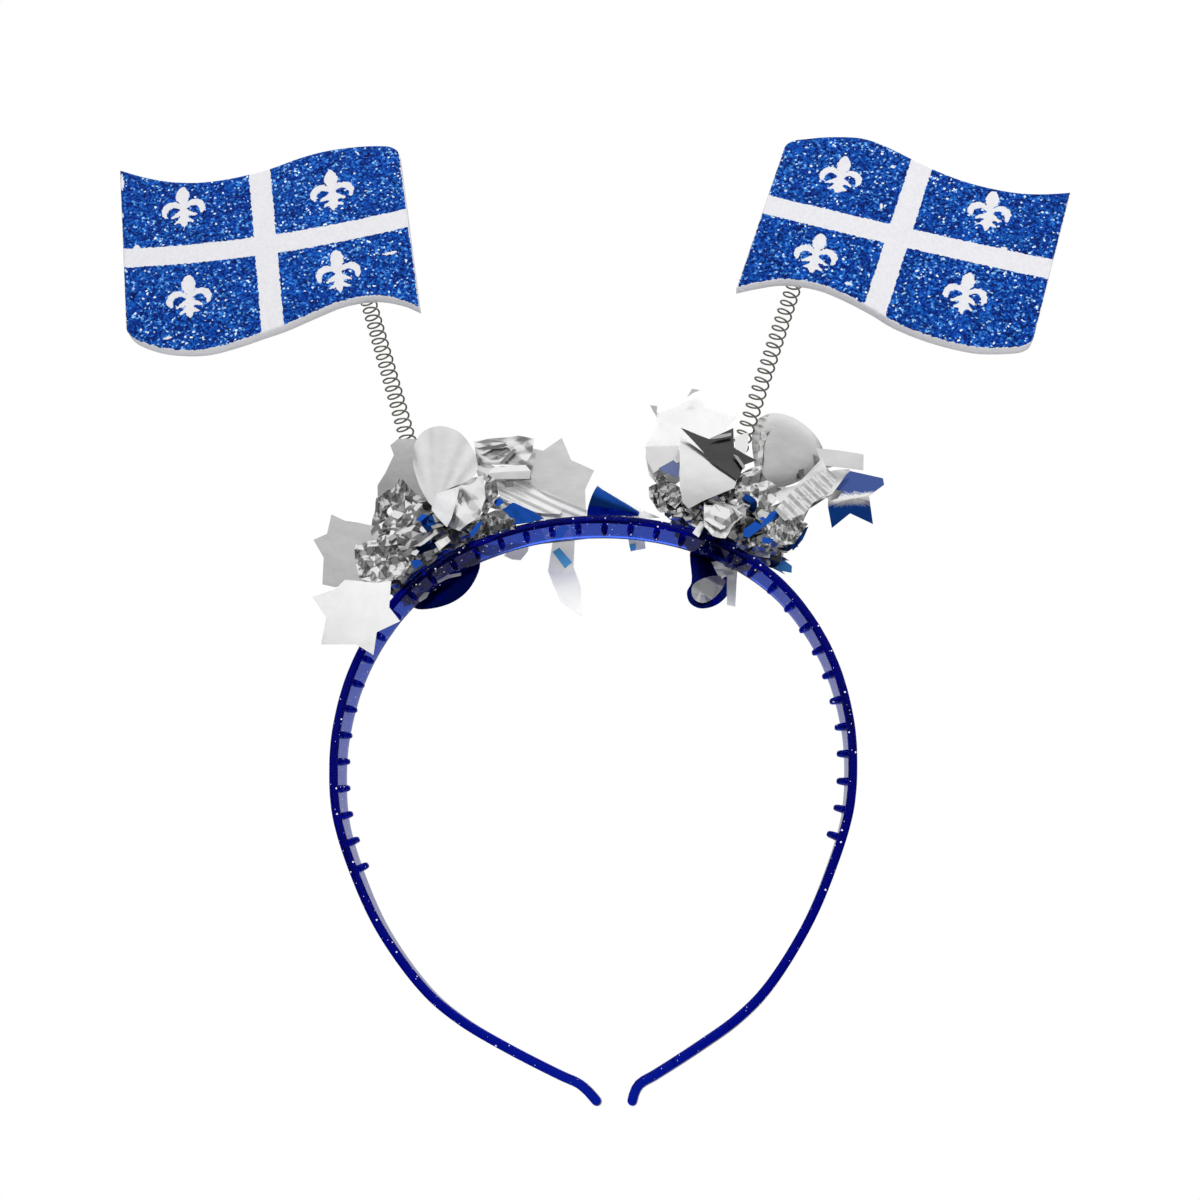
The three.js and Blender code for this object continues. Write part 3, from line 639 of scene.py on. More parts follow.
def glitterFoam():
    # EVA foam sheet, screen printed with glue and dusted with glitter: flat, mirror-bright chips of every
    # tilt make the print a crowd of dark, mid and light blue grains, here a painted reflection fixed in each
    # chip's colour; bare foam is matt and near white
    material, tree = newMaterial("EVA foam with glitter print")
    where = addNode(tree, "ShaderNodeTexCoord")
    depth = addNode(tree, "ShaderNodeAttribute", attribute_name="printDepth")
    fray = noiseNode(tree, where, 0.9)
    ragged = mathNode(tree, "MULTIPLY_ADD", (fray, "Fac"), 1.1, -0.55)
    inside = mathNode(tree, "ADD", (depth, "Fac"), (ragged, 0))
    printed = mapNode(tree, (inside, 0), (-0.03, 0.05))
    tone = addNode(tree, "ShaderNodeSeparateColor", {0: (cellNode(tree, where, 0.55), "Color")})  # flakes
    # painted reflection: each chip's shade on this ramp, from near black to near white, stands for how its
    # tilt catches the room
    blues = rampNode(tree, (tone, 0), [
        (0.0, "#010f4c"), (0.3, "#03297e"), (0.58, "#0742a0"), (0.8, "#125ab8"), (0.91, "#357ed0"),
        (0.97, "#88bcec"), (1.0, "#eef8ff")])
    patches = noiseNode(tree, where, 6)  # thicker and thinner dusting
    dusting = mapNode(tree, (patches, "Fac"), (0.3, 0.7), (0.82, 1.12))
    varied = scaleNode(tree, (blues, 0), (dusting, 0))
    foam = rampNode(tree, (fray, "Fac"), [(0.3, "#d3d3d8"), (0.7, "#dcdce0")])
    colour = mixNode(tree, (printed, 0), (foam, 0), (varied, 0))
    chip = mathNode(tree, "MULTIPLY", (tone, 1), (printed, 0))
    metal = mathNode(tree, "MULTIPLY", (printed, 0), 0.2)
    rough = mapNode(tree, (printed, 0), (0.0, 1.0), (0.85, 0.38))
    cells = noiseNode(tree, where, 0.3)  # the foam's own cells
    height = mathNode(tree, "MULTIPLY_ADD", (cells, "Fac"), 0.35, (chip, 0))
    bump = bumpNode(tree, (height, 0), 0.5, 0.15)
    finishMaterial(tree, {
        "Base Color": (colour, 2), "Metallic": (metal, 0), "Roughness": (rough, 0), "Normal": (bump, 0),
        "Specular IOR Level": 0.08,
    })
    return material


glitter = glitterFoam()
for name in sides:
    body, depth = flagBody(name)
    sheet = makePiece(f"flag_{name}_foam", body, glitter, {"printDepth": ("POINT", depth)})
    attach(sheet, f"{name}_flag")
    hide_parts(f"flag_{name}")
print("flags made")


# Pads: foam blocks glued to the flags' backs, with a channel for the spring's end

def padBody(axis, free):
    # the CAD section, a block with two chamfers and a round channel, swept along the spring, its ends eased
    bore, half = spring["diameter"] / 2 + band["clearance"], pad["width"] / 2
    deep, cut, middle = pad["depth"], pad["chamfer"], spring["diameter"] / 2
    arch = np.radians(np.linspace(180, 0, 17))
    channel = zip(bore * np.cos(arch), middle + bore * np.sin(arch))
    blunt = cut * pad["blunting"]
    section = np.array([
        (-half, 0), (-bore, 0), *channel, (bore, 0), (half, 0),
        (half, deep - cut), (half - blunt, deep - blunt), (half - cut, deep),
        (cut - half, deep), (blunt - half, deep - blunt), (-half, deep - cut)])
    rise = np.array([0, pad["round"] * 0.3, pad["round"]])
    rise = np.concatenate([rise, pad["length"] - rise[::-1]])
    ease = 1 - np.array([0.06, 0.02, 0, 0, 0.02, 0.06])
    centre = np.array([0, (deep + middle + bore) / 2])
    flat = centre + (section - centre) * ease[:, None, None]
    start = axis["foot"] + axis["up"] * (free + pad["inset"])
    start[1] = flag["back"] + band["clearance"]
    beside = np.cross(axis["across"], axis["up"])
    return start + rise[:, None, None] * axis["up"] + flat[..., :1] * beside + flat[..., 1:] * axis["across"]


def whiteFoam():
    # EVA foam block, cut from sheet, its cut faces slightly yellowed: drawn matt white all over, with open
    # cells 0.4 mm wide
    material, tree = newMaterial("cut white EVA foam")
    where = addNode(tree, "ShaderNodeTexCoord")
    colour = rampNode(tree, (noiseNode(tree, where, 5), "Fac"), [(0.3, "#dcdcde"), (0.7, "#ebebee")])
    bump = bumpNode(tree, (cellNode(tree, where, 0.4), "Distance"), 0.35, 0.2)
    finishMaterial(tree, {"Base Color": (colour, 0), "Roughness": 0.9, "Normal": (bump, 0)})
    return material


def ringBody(rings):
    # a swept body whose ends are single many-sided faces, for sections that aren't round a pole
    rows, cols = rings.shape[:2]
    points = rings.reshape(-1, 3)
    ends = [np.arange(cols)[None, ::-1], (rows - 1) * cols + np.arange(cols)[None, :]]
    return points, outwards(points, [gridQuads(rows, cols, True), *ends])


white = whiteFoam()
for name, axis in axes.items():
    rings = padBody(axis, sides[name]["springShare"] * spring["length"])
    block = makePiece(f"pad_{name}_foam", ringBody(rings), white, smooth=False)
    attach(block, f"{name}_flag")
    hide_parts(f"pad_{name}")
print("pads made")


# Tufts: stars, petals and strips of foil, silver on one face and blue on the other

# Each row gives a sheet's outline (cut, in x and z) and the depth y of its middle, in mm, and then what else
# it has. lean is y per x and y per z. bend (angle, amount), fold (angle, slope), ribs (angle, pitch, depth),
# pleats (foot, number, depth), crumple (share, pitch) and rim shape it as sheetDepth says. tone is its
# brightness: the film's own shade, and on some rows painted light. Some rows are no piece of foil but thin
# sheets laid over others as a painted highlight, painted dark reflection or painted shade. blue is 0 for
# silver, 1 royal, 2 sky and 3 navy. Names that end in Top or Low are for the parts above and below its
# middle. matt runs from 0, a mirror, to 1, the film's pearly back. fine makes its mesh that many times finer.
# stem is the path of a strip that fuses it to the heart, or "straight" for one from the heart's centre.
usual = {  # what a sheet has when its row doesn't say
    "lean": (0.0, 0.05), "tone": 1.0, "blue": 0, "blueTop": 0, "blueLow": 0, "matt": 0, "round": False,
    "fine": 1, "rim": 0, "stem": None,
}
sheets = {
    "left": {
        "pleated petal": {"y": -11, "lean": (0.02, 0.02), "tone": 0.97, "round": True, "bend": (0, 0.006),
            "pleats": ((-40.6, 0.5), 8, 0.34), "stem": "straight", "cut": [(-39.3, 26.9), (-35.6, 25.6),
            (-32.4, 22.3), (-30.1, 17.6), (-29.7, 13.9), (-31.4, 11), (-35, 9.1), (-38.5, 7.2),
            (-40.8, 3.3), (-43.7, 7.3), (-45.7, 12.1), (-46.9, 16.8), (-46.7, 21.6), (-44.2, 25.9)]},
        "grey petal": {"y": -5, "lean": (0.0, -0.13), "tone": 0.86, "bend": (90, 0.004),
            "stem": "straight", "cut": [(-54.3, 24.2), (-52.2, 26.1), (-47.5, 25.9), (-43.8, 20.4),
            (-43.3, 8.2), (-48.1, 7), (-57.3, 9.9), (-57.4, 13), (-55.4, 16.3), (-53.2, 21.4)]},
        "left star": {"y": -7, "lean": (-0.08, 0.0), "tone": 0.84, "crumple": (0.035, 9),
            "stem": "straight", "cut": [(-68.8, 3.9), (-65, 1.8), (-61, 0.9), (-56.5, -0.4), (-54.5, -7),
            (-54.5, -14.7), (-60, -16), (-66.4, -17), (-69.8, -16), (-70, -8.5), (-73.2, -3.2),
            (-69.6, -1.7)]},
        "white star": {"y": -13, "lean": (0.03, 0.15), "matt": 0.2, "crumple": (0.07, 8),
            "bend": (40, 0.003), "stem": "straight", "cut": [(-70.5, -21.8), (-64.8, -19.7),
            (-62.6, -16.9), (-54.3, -17.8), (-50.8, -17.2), (-50.6, -25), (-47.5, -29), (-53.1, -32.1),
            (-53.4, -38.4), (-58.2, -35.3), (-66.9, -35.1), (-66.3, -27.8)]},
        "pale star": {"y": 1, "lean": (0.06, -0.02), "tone": 0.91, "bend": (20, 0.004),
            "stem": [(-40, 0, 2), (-28, 1, 9), (-14, 2.2, 14)], "cut": [(-8.5, 28.6), (-5.9, 21.9),
            (0.3, 19), (-2.1, 13.2), (-1.8, 5.4), (-9.5, 7.3), (-15, 3.4), (-19.5, 10.3), (-23.9, 13.1),
            (-21.6, 20), (-19.8, 26.2), (-13.5, 24.6)]},
        "folded strip": {"y": -4, "lean": (0.0, -0.05), "tone": 0.99, "crumple": (0.5, 2.2), "fine": 2,
            "stem": [(-40, 0, 5), (-36, -2, 14), (-30.5, -3, 21)], "cut": [(-32, 26), (-19.9, 27.1),
            (-15.6, 26.1), (-15.9, 22.5), (-17.5, 18.6), (-30.9, 19)]},
        "white flap": {"y": -6, "lean": (0.0, 0.2), "fold": (0, 0.25),
            "stem": [(-22, -3.2, 12), (-22, -5.4, 15)], "cut": [(-27.4, 15), (-25.6, 17.4), (-17.6, 17.6),
            (-16, 15.3), (-16.3, 13), (-26.7, 13.3)]},
        # painted reflection: two dark strips laid on the folded strip where its folds would mirror the dark
        # room
        "dark reflection streak": {"y": -5.2, "tone": 0.22, "cut": [(-30.7, 22.8), (-28.9, 22.4), (-25.8, 22.5),
            (-22.5, 23.5), (-23.2, 24.2), (-25.9, 23.6), (-29, 23.3)]},
        "upper reflection streak": {"y": -5.2, "tone": 0.35, "cut": [(-31.2, 24.6), (-29, 24.5), (-25.9, 24.7),
            (-22.5, 24.3), (-25.9, 25.1), (-29, 25.2)]},
        "strip foot": {"y": -3.4, "tone": 0.86, "crumple": (0.3, 3), "fine": 2, "cut": [(-31.2, 21.5),
            (-26, 18.5), (-27.7, 16.6), (-27.8, 13.9), (-30.3, 15), (-31.3, 17.7)]},
        "pleat gap": {"y": -2.4, "tone": 0.8, "crumple": (0.3, 3), "fine": 2, "cut": [(-27.3, 7),
            (-25.8, 6.2), (-22.4, 6.4), (-20, 7.4), (-22.7, 8.1), (-25.8, 8.5)]},
        # painted shade: a dark sliver laid along a crease
        "crease shade": {"y": -5.2, "tone": 0.3, "cut": [(-24.6, 18.1), (-23.5, 18), (-21.8, 20.2),
            (-20.1, 22.1), (-20.9, 22.4), (-22.7, 20.6)]},
        "under flap": {"y": -4.4, "tone": 0.82, "cut": [(-27.7, 15.7), (-16.5, 15.8), (-15.9, 13.3),
            (-27.4, 13.1)]},
        # painted highlight: a pale strip laid along the cone's upper edge
        "cone top highlight": {"y": -2.6, "tone": 1.1, "matt": 0.6, "cut": [(1.1, 12.2), (1.8, 12.4), (14.1, 4.2),
            (13.3, 3.7)]},
        "long pleat": {"y": -3, "lean": (0.0, 0.06), "tone": 0.9, "matt": 0.5, "fine": 2,
            "ribs": (61, 2.4, 0.3), "stem": "straight", "cut": [(-27, 15), (-19.1, 14.5), (-7.3, 5.4),
            (-8.5, 3.6), (-14.6, 4.3), (-23.9, 8.5)]},
        "rear pleat": {"y": -1.6, "lean": (0.0, 0.02), "tone": 0.86, "matt": 0.5, "fine": 2,
            "ribs": (64, 2.2, 0.25), "stem": "straight", "cut": [(-17.9, 12.4), (-13, 11.4), (-1.3, 5.3),
            (-1.6, 3.7), (-7.4, 3.8), (-16, 9.5)]},
        "pleat root": {"y": -2.2, "tone": 0.95, "matt": 0.4, "cut": [(-13.5, 4.9), (-8.1, 4.4),
            (-6.4, 3.2), (-10.8, 2.8), (-13.5, 2.7)]},
        "blue bit": {"y": -7, "lean": (0.1, 0.1), "blue": 1, "cut": [(-25.8, 6.1), (-24, 7.3), (-22.7, 6),
            (-24.5, 4.4)]},
        "blue wedge": {"y": -6, "lean": (0.0, 0.1), "tone": 0.8, "blue": 1, "crumple": (0.4, 2),
            "fine": 2, "stem": "straight", "cut": [(-23.4, 4.5), (-20.7, 6.5), (-18.9, 5.7), (-16.1, 4.1),
            (-12.3, 1.5), (-16.1, 0.2), (-20.3, -0.1), (-21.4, 2.4)]},
        # painted highlight: two pale slivers that stand for bright strokes along the band's lower rear edge
        "edge highlight stroke": {"y": 1.5, "lean": (0.0, 0.3), "matt": 0.6, "cut": [(-41.8, -13.2), (-38.7, -10.9),
            (-35, -10.2), (-35, -11.1), (-38.1, -11.8), (-41.3, -13.8)]},
        "low highlight stroke": {"y": 1.5, "lean": (0.0, 0.3), "matt": 0.6, "cut": [(-46.2, -17.9), (-44.6, -15.8),
            (-43.3, -15.6), (-43.8, -17.3), (-45.4, -18.6)]},
        "crown spot": {"y": 6.6, "blue": 2.0, "matt": 0.9, "cut": [(9.5, -1.2), (11.3, -1), (11.1, -2.9),
            (9.9, -3.3)]},
        "blue chip": {"y": -12.6, "blue": 1, "cut": [(-30.7, -5.1), (-28.7, -2.3), (-27.4, -2),
            (-28.8, -5), (-30.3, -6.9)]},
        "blue square": {"y": -12.2, "blue": 1, "cut": [(-45.8, -12.5), (-43.6, -12), (-42.5, -13.4),
            (-44.5, -14.9)]},
        "pale lap": {"y": -13, "tone": 0.93, "blue": 0.03, "matt": 0.3, "crumple": (0.2, 4), "fine": 2,
            "cut": [(-40.8, 4.4), (-39.4, 6.4), (-37, 7.5), (-33.9, 8.4), (-34.4, 4.2), (-35.5, -1),
            (-36.6, -3.6), (-39.1, -0.9), (-40.9, 1.7)]},
        "white chip": {"y": -12.8, "crumple": (0.4, 2), "fine": 2, "cut": [(-39.7, -7.6), (-36.5, -5.8),
            (-35.6, -7.2), (-38.4, -10)]},
        "navy petal": {"y": 9, "lean": (0.0, -0.1), "tone": 0.9, "blue": 3, "round": True,
            "bend": (130, 0.02), "stem": [(-43, 4, 2), (-42, 8, 0), (-40, 10.6, -8)],
            "cut": [(-49.7, -15.1), (-48.4, -17.1), (-42.8, -16.9), (-37.3, -14.7), (-33.3, -10.8),
            (-31, -4.9), (-32.7, -0.7), (-39.7, -0.6), (-46.4, -4.5), (-50.6, -10.4)]},
        "cyan bit": {"y": 8, "lean": (0.0, 0.1), "tone": 1.15, "blue": 0.14, "matt": 0.9,
            "stem": [(-36, 7, -1), (-28, 7.2, 0), (-22, 8.4, -1.8)], "cut": [(-24.5, -3.1), (-22.3, -0.6),
            (-17.8, -0.3), (-18, -1.9), (-19.9, -4.6), (-22.2, -4.3)]},
        # toneTop lightens the leaf's upper part: painted light against the shadow the band casts on it
        "pale leaf": {"y": 9, "lean": (0.02, 0.12), "tone": 1.06, "toneTop": 1.25, "matt": 1.0,
            "crumple": (0.1, 5), "stem": [(-36, 7, -1), (-22, 7.2, 0.3), (-9, 7.4, 1.5)],
            "cut": [(-11.4, 2.9), (-5.5, 2.7), (-5.7, -6.2), (-3.7, -12.2), (-3.2, -21.1), (-8.7, -17),
            (-10.9, -12), (-12.6, -7.3)]},
        "sky bit": {"y": 8.2, "lean": (0.0, 0.0), "blue": 2.0, "matt": 0.9, "cut": [(-11.3, -2.2),
            (-9.5, -1), (-6, -5.4), (-7.9, -7.1)]},
        "crown bit": {"y": 7, "lean": (0.0, 0.1), "tone": 1.1, "matt": 0.9,
            "stem": [(-9, 7.4, 1.5), (3, 7.4, 2.4), (11, 7.3, 1), (11.4, 7.4, -1)], "cut": [(9, 1.8),
            (13.6, 1.6), (13.9, -2.5), (9.9, -3.2)]},
        "loose end": {"y": 0, "lean": (0.0, 0.12), "tone": 0.97, "matt": 0.6,
            "stem": [(9, 0.5, 5.4), (13, 0.2, 4.6)], "cut": [(11.6, 5.3), (13.9, 5.5), (18, 3.4),
            (12.6, 3.3)]},
        "front wrap": {"y": -11.6, "lean": (0.05, 0.1), "tone": 0.97, "crumple": (0.5, 2.4), "fine": 3,
            "stem": "straight", "cut": [(-40.1, 7.5), (-34.2, 11.4), (-28.1, 12.5), (-27.3, 5.8),
            (-28.4, 0.6), (-33.6, -4.1), (-36.7, -2.5), (-40.5, 1.6)]},
        "low wrap": {"y": -11, "lean": (0.15, 0.05), "tone": 0.95, "crumple": (1.4, 2), "fine": 3,
            "stem": "straight", "cut": [(-60.7, -6.6), (-57.2, -5.4), (-51.3, -2.9), (-46.4, -6.3),
            (-45.6, -10.2), (-48.8, -16.5), (-54.7, -17.6), (-59.2, -16.2), (-60.8, -10.4)]},
        "side crumple": {"y": -10, "tone": 0.75, "crumple": (1.3, 1.6), "fine": 3, "stem": "straight",
            "cut": [(-28.5, 8.7), (-27.1, 13.3), (-24.9, 11.9), (-24.2, 7.9), (-25.6, 4), (-27, 1.4),
            (-28.3, 2.8)]},
        "dark crumple": {"y": -7, "lean": (0.0, 0.0), "tone": 0.5, "crumple": (1.6, 1.6), "fine": 3,
            "stem": "straight", "cut": [(-32.8, -1), (-28.1, 4.1), (-25.1, 2.1), (-19.9, 1.3),
            (-19.5, -1.4), (-24.3, -2.5), (-30.3, -4.3)]},
        "upper crumple": {"y": -8, "lean": (0.0, -0.1), "tone": 0.7, "crumple": (1.5, 1.8), "fine": 3,
            "stem": "straight", "cut": [(-56.8, 7.8), (-55.7, 9.1), (-52.7, 10.4), (-50.7, 13.8),
            (-47.7, 10.2), (-45.2, 8.2), (-42.5, 2.8), (-44.7, -2.4), (-51.9, -3.6), (-58.1, -0.8)]},
    },
    "right": {
        "white star": {"y": -3, "lean": (0.06, 0.17), "tone": 1.02, "matt": 0.45, "bend": (60, 0.006),
            "stem": "straight", "cut": [(16.2, 35.7), (18.1, 33.4), (22.2, 35.5), (25.7, 37.8),
            (29.1, 39.9), (31, 35.7), (39.1, 32.7), (36.5, 29.3), (34.3, 18.7), (23.2, 11.6), (19.4, 8.6),
            (15.4, 13.9), (14.5, 19.3), (14.8, 23.5), (18, 29.4), (17.4, 32.6)]},
        "folded star": {"y": -11, "lean": (0.02, 0.06), "tone": 0.96, "bend": (90, 0.01),
            "stem": "straight", "cut": [(23.8, 23.1), (31.3, 15.8), (38.2, 8.3), (37.4, 6.3), (29.1, 2.8),
            (25.6, 0.8), (24, 2.6), (23.4, 7.8), (23.6, 16)]},
        "blue glint": {"y": -7.6, "tone": 0.62, "blue": 0.75, "matt": 0.3, "cut": [(17.9, 14.2),
            (21.9, 16.6), (23.4, 14.8), (23.2, 11.3), (19.5, 12.8)]},
        "grey foot": {"y": -6.8, "lean": (0.06, 0.17), "tone": 0.85, "crumple": (0.25, 4), "fine": 2,
            "cut": [(14.5, 21.6), (23.4, 21.9), (23.6, 16.6), (19, 14.9), (16.6, 13.1), (14.8, 17.4)]},
        # painted dark reflection: two darker slivers laid on the white star's tips
        "left tip reflection": {"y": -3.4, "tone": 0.6, "cut": [(15.9, 35.4), (17.8, 35.1), (17.6, 32.7),
            (16.9, 33)]},
        "top tip reflection": {"y": -3.4, "tone": 0.65, "cut": [(26, 37.6), (27.4, 40.1), (29.4, 39.6),
            (27.6, 38.8)]},
        "pale shard": {"y": -8, "tone": 0.92, "crumple": (0.3, 3), "fine": 2, "cut": [(38.9, 11.6),
            (42.4, 13.8), (45, 14.2), (44.5, 12.2), (40.4, 9.7), (38.9, 8.7)]},
        "left crumple": {"y": -6, "tone": 0.72, "crumple": (1.1, 1.8), "fine": 2, "cut": [(16.7, 13.2),
            (19, 13.5), (23.4, 9.6), (24.1, 6), (22.1, 3.5), (18.7, 6.2)]},
        "blue corner": {"y": -9.5, "blue": 1, "cut": [(44.2, -6.9), (47.1, -7.7), (45.7, -9.1),
            (44, -8.5)]},
        "blue end": {"y": -4, "tone": 0.7, "blue": 1, "crumple": (0.6, 2), "fine": 2,
            "cut": [(54.4, -2.3), (56.6, -1.8), (54.9, -5.4), (52.2, -8.5), (51.9, -6.6)]},
        # painted dark reflection: the flap's near-black tone, and a paler streak laid on it
        "dark flap": {"y": -11.3, "lean": (0.02, 0.06), "tone": 0.1, "crumple": (0.12, 4),
            "cut": [(24, 24.3), (31.4, 20.7), (37.8, 23.9), (37.8, 17.6), (43.5, 14.1), (40.4, 12.9),
            (38.2, 8.3), (32.1, 13.7), (28.6, 18.4)]},
        "flap reflection streak": {"y": -12.2, "tone": 0.55, "cut": [(31.4, 19.9), (34.2, 21.2), (37.2, 21.7),
            (37.1, 20.8), (34.2, 20.2)]},
        "flap glint": {"y": -12.2, "tone": 0.5, "cut": [(37.4, 15.5), (38.6, 14.9), (40.4, 11.8),
            (40, 10.8)]},
        "white quad": {"y": -8, "lean": (0.0, 0.1), "stem": [(38, -4, 12), (39.8, -7, 19)],
            "cut": [(38.3, 22.8), (41.9, 24.1), (41.5, 19.1), (40.7, 17.2), (38.2, 19.2)]},
        "domed petal": {"y": 4.4, "lean": (-0.02, -0.1), "tone": 0.96, "round": True, "bend": (0, 0.002),
            "rim": 0.06, "stem": [(42, 3, 4), (48, 9.8, 12), (54, 7.6, 20)], "cut": [(45, 34.0),
            (49.2, 35.9), (54.5, 34.6), (59.2, 30.9), (61.9, 26.9), (62.8, 23.1), (61.5, 19.9),
            (56.5, 16.3), (50.6, 14.4), (45.4, 15.2), (43.7, 23.1), (43.6, 30.2)]},
        "pale strip": {"y": 2, "lean": (0.05, 0.02), "tone": 0.93, "bend": (0, 0.01),
            "stem": [(60.5, 8.2, 20.5), (66, 3.2, 20.4)], "cut": [(60.4, 23.8), (73.1, 21.8), (72.7, 17),
            (61.6, 18.5)]},
        "blue star": {"y": -2, "lean": (-0.05, 0.0), "toneTop": 0.62, "blueTop": 0.9, "blueLow": 1.0,
            "fold": (8, 0.22), "stem": [(54, -4.4, 4), (62, -2.4, 8), (67, -0.9, 8)], "cut": [(62.4, 8.3),
            (68.7, 15.7), (77.1, 12.6), (77.2, 10.5), (73, 7.2), (73.7, -0.2), (67.9, 2.8), (63, -0.9),
            (62.2, 4.7)]},
        "pale backing": {"y": -3, "tone": 0.92, "crumple": (0.3, 4), "fine": 2, "cut": [(49, 9.8),
            (54.2, 10.7), (61.5, 18.9), (62.7, 14.6), (68.6, 15.2), (63.4, 7.8), (57.2, 3.9),
            (55.3, -0.2), (49.7, 2.6)]},
        "dome glint": {"y": 3.4, "tone": 0.15, "cut": [(55.5, 18), (57, 18.4), (56.9, 16.2), (55.6, 16)]},
        "dome edge": {"y": 3.2, "tone": 0.8, "crumple": (0.8, 1.5), "fine": 2, "cut": [(46.5, 32.8),
            (50, 34.9), (49.5, 32.2), (46.6, 26.8), (45.8, 20.3), (44.6, 21.5), (45.4, 27.9)]},
        "ribbed strip": {"y": -9, "lean": (0.1, 0.1), "tone": 0.95, "fine": 2, "ribs": (40, 2.6, 0.4),
            "stem": "straight", "cut": [(47.6, 0.2), (52.3, 5.7), (57.2, 9.7), (62, 12.7), (64.3, 10),
            (62, 5.5), (57.7, 2.5), (55.2, -0.9), (50, -3)]},
        "blue strip": {"y": -9, "lean": (0.1, 0.1), "blue": 1, "stem": "straight", "cut": [(39.4, -4.9),
            (43.6, -1.5), (48.6, 1.4), (48.7, -0.7), (44.4, -4.1), (40.7, -7.2), (39.3, -6.9)]},
        "upper spike": {"y": 3, "lean": (0.1, 0.1), "tone": 1.1, "blue": 1.35, "matt": 0.7,
            "cut": [(43, -4.5), (45.5, -4.6), (50.4, -7.8), (45, -6.2)]},
        "top spike": {"y": 2.4, "tone": 0.95, "blue": 1.3, "matt": 0.7, "cut": [(48, -7.4), (49.7, -7.7),
            (51.8, -8.7), (49.7, -8.8), (48.1, -8.4)]},
        "middle spike": {"y": 1.5, "lean": (0.0, 0.2), "tone": 1.1, "blue": 1.4, "matt": 0.7,
            "cut": [(42.1, -4.7), (47.2, -6.6), (49.9, -8.6), (52.2, -10.8), (52, -12.9), (49.2, -12.2),
            (46.6, -9.9), (43.4, -7.6)]},
        "lower spike": {"y": 3.2, "lean": (0.1, 0.0), "blue": 1.3, "matt": 0.7, "cut": [(43, -6.8),
            (46, -7), (50.6, -12.2), (45, -9.2)]},
        "fringe tip": {"y": 1.0, "tone": 1.15, "blue": 1.2, "matt": 0.7, "cut": [(44.8, -6.3),
            (49.6, -7.9), (49.9, -8.9), (48.4, -9), (50.5, -9.9), (49.3, -10.5), (46.6, -8.9)]},
        "front shard": {"y": -7, "lean": (0.0, 0.15), "stem": [(33, -4, 2), (29, -6.6, -2)],
            "cut": [(26.4, -4.4), (28.6, -0.8), (30, -1.5), (28, -5.8)]},
        "navy curl": {"y": 9, "lean": (0.25, -0.1), "tone": 0.85, "blue": 3, "round": True,
            "bend": (0, 0.05), "stem": [(37, 5, 2), (35, 8, 0), (32, 11, -6)], "cut": [(26, -2.4),
            (28.7, 0.1), (35.7, -5.3), (37.7, -8.9), (36.4, -13), (33.4, -17), (30.5, -18.7),
            (27.7, -18.9), (25.4, -17.3), (24.7, -14.3), (26, -11.7)]},
        "curl lining": {"y": 7, "lean": (0.1, -0.1), "tone": 0.7, "blue": 0.08, "matt": 0.3,
            "round": True, "crumple": (0.5, 2.6), "fine": 2, "cut": [(26.2, -13.2), (29.5, -11.2),
            (33.5, -10.4), (35, -12), (31.6, -16.6), (28.6, -18), (26.4, -16.6)]},
        "silver scribble": {"y": 6.6, "lean": (0.0, 0.0), "tone": 1.15, "matt": 0.6,
            "crumple": (1.4, 1.8), "fine": 2, "stem": [(37, 5, 2), (35, 7.6, -6)], "cut": [(31.4, -6),
            (35.6, -5.8), (37.4, -9.7), (33.6, -11.4)]},
        "hanging strip": {"y": 9.4, "lean": (0.0, 0.1), "tone": 1.15, "matt": 0.8,
            "stem": [(38, 5, 2), (37.4, 9.6, -3), (37, 9.9, -10)], "cut": [(35.6, -7), (38.4, -7),
            (37.4, -19), (35.2, -18.4)]},
        "pale wrap": {"y": -11.5, "lean": (0.1, 0.15), "tone": 0.97, "crumple": (0.9, 3), "fine": 3,
            "stem": "straight", "cut": [(29.6, 2.9), (30.9, 1.3), (37.9, 3.9), (40.2, 2.6), (36.2, -4.4),
            (33.5, -5.8), (29.4, -2.2)]},
        "upper wrap": {"y": -10.5, "tone": 0.95, "crumple": (1.1, 2.2), "fine": 3, "stem": "straight",
            "cut": [(38.3, 9.6), (40.4, 11.6), (44.6, 13.3), (45, 10.9), (48.1, 7.3), (49.6, 6.7),
            (49.3, 4.2), (46, 1.2), (40, 1.4), (37.4, 5)]},
        "middle wrap": {"y": -12, "crumple": (0.7, 3), "fine": 3, "stem": "straight", "cut": [(29.5, 2),
            (33.6, 2.2), (37.2, 1.3), (40, 2), (39.4, -1.3), (37.1, -3.7), (34.7, -7.8), (31.5, -7),
            (29.3, -4)]},
        "lapped crumple": {"y": -6, "lean": (0.0, 0.1), "tone": 0.8, "crumple": (1.4, 1.8), "fine": 3,
            "stem": "straight", "cut": [(15.2, 10.5), (19, 11.7), (23.2, 8.5), (26.2, 3.3), (25.5, 0.5),
            (18.3, 2.6), (15.3, 7.1)]},
        "end curls": {"y": -9, "lean": (0.1, 0.1), "tone": 0.9, "crumple": (1.4, 1.8), "fine": 3,
            "stem": "straight", "cut": [(45, -0.9), (52.2, 0.5), (54.9, -2.1), (56.2, -2.6), (52.2, -8.5),
            (48.1, -8.9), (44.4, -4.9)]},
    },
}
tufts = {
    "left": {
        "seed": 11,
        "heart": {"centre": (-46.5, 0.5, -3), "along": 16, "across": 11.5, "deep": 10.5, "slope": 37},
        "cone": {"foot": (0.3, 0.5, 8.9), "tip": (12.4, 0, 4.7), "radius": (4.5, 0.5), "slant": 0.25,
                 "rings": 16, "spokes": 40, "inside": 0.93, "tone": 0.85},
    },
    "right": {
        "seed": 23,
        "heart": {"centre": (36.5, 0.5, 0.6), "along": 15.5, "across": 8.5, "deep": 10, "slope": -24},
        "cone": None,
    },
}
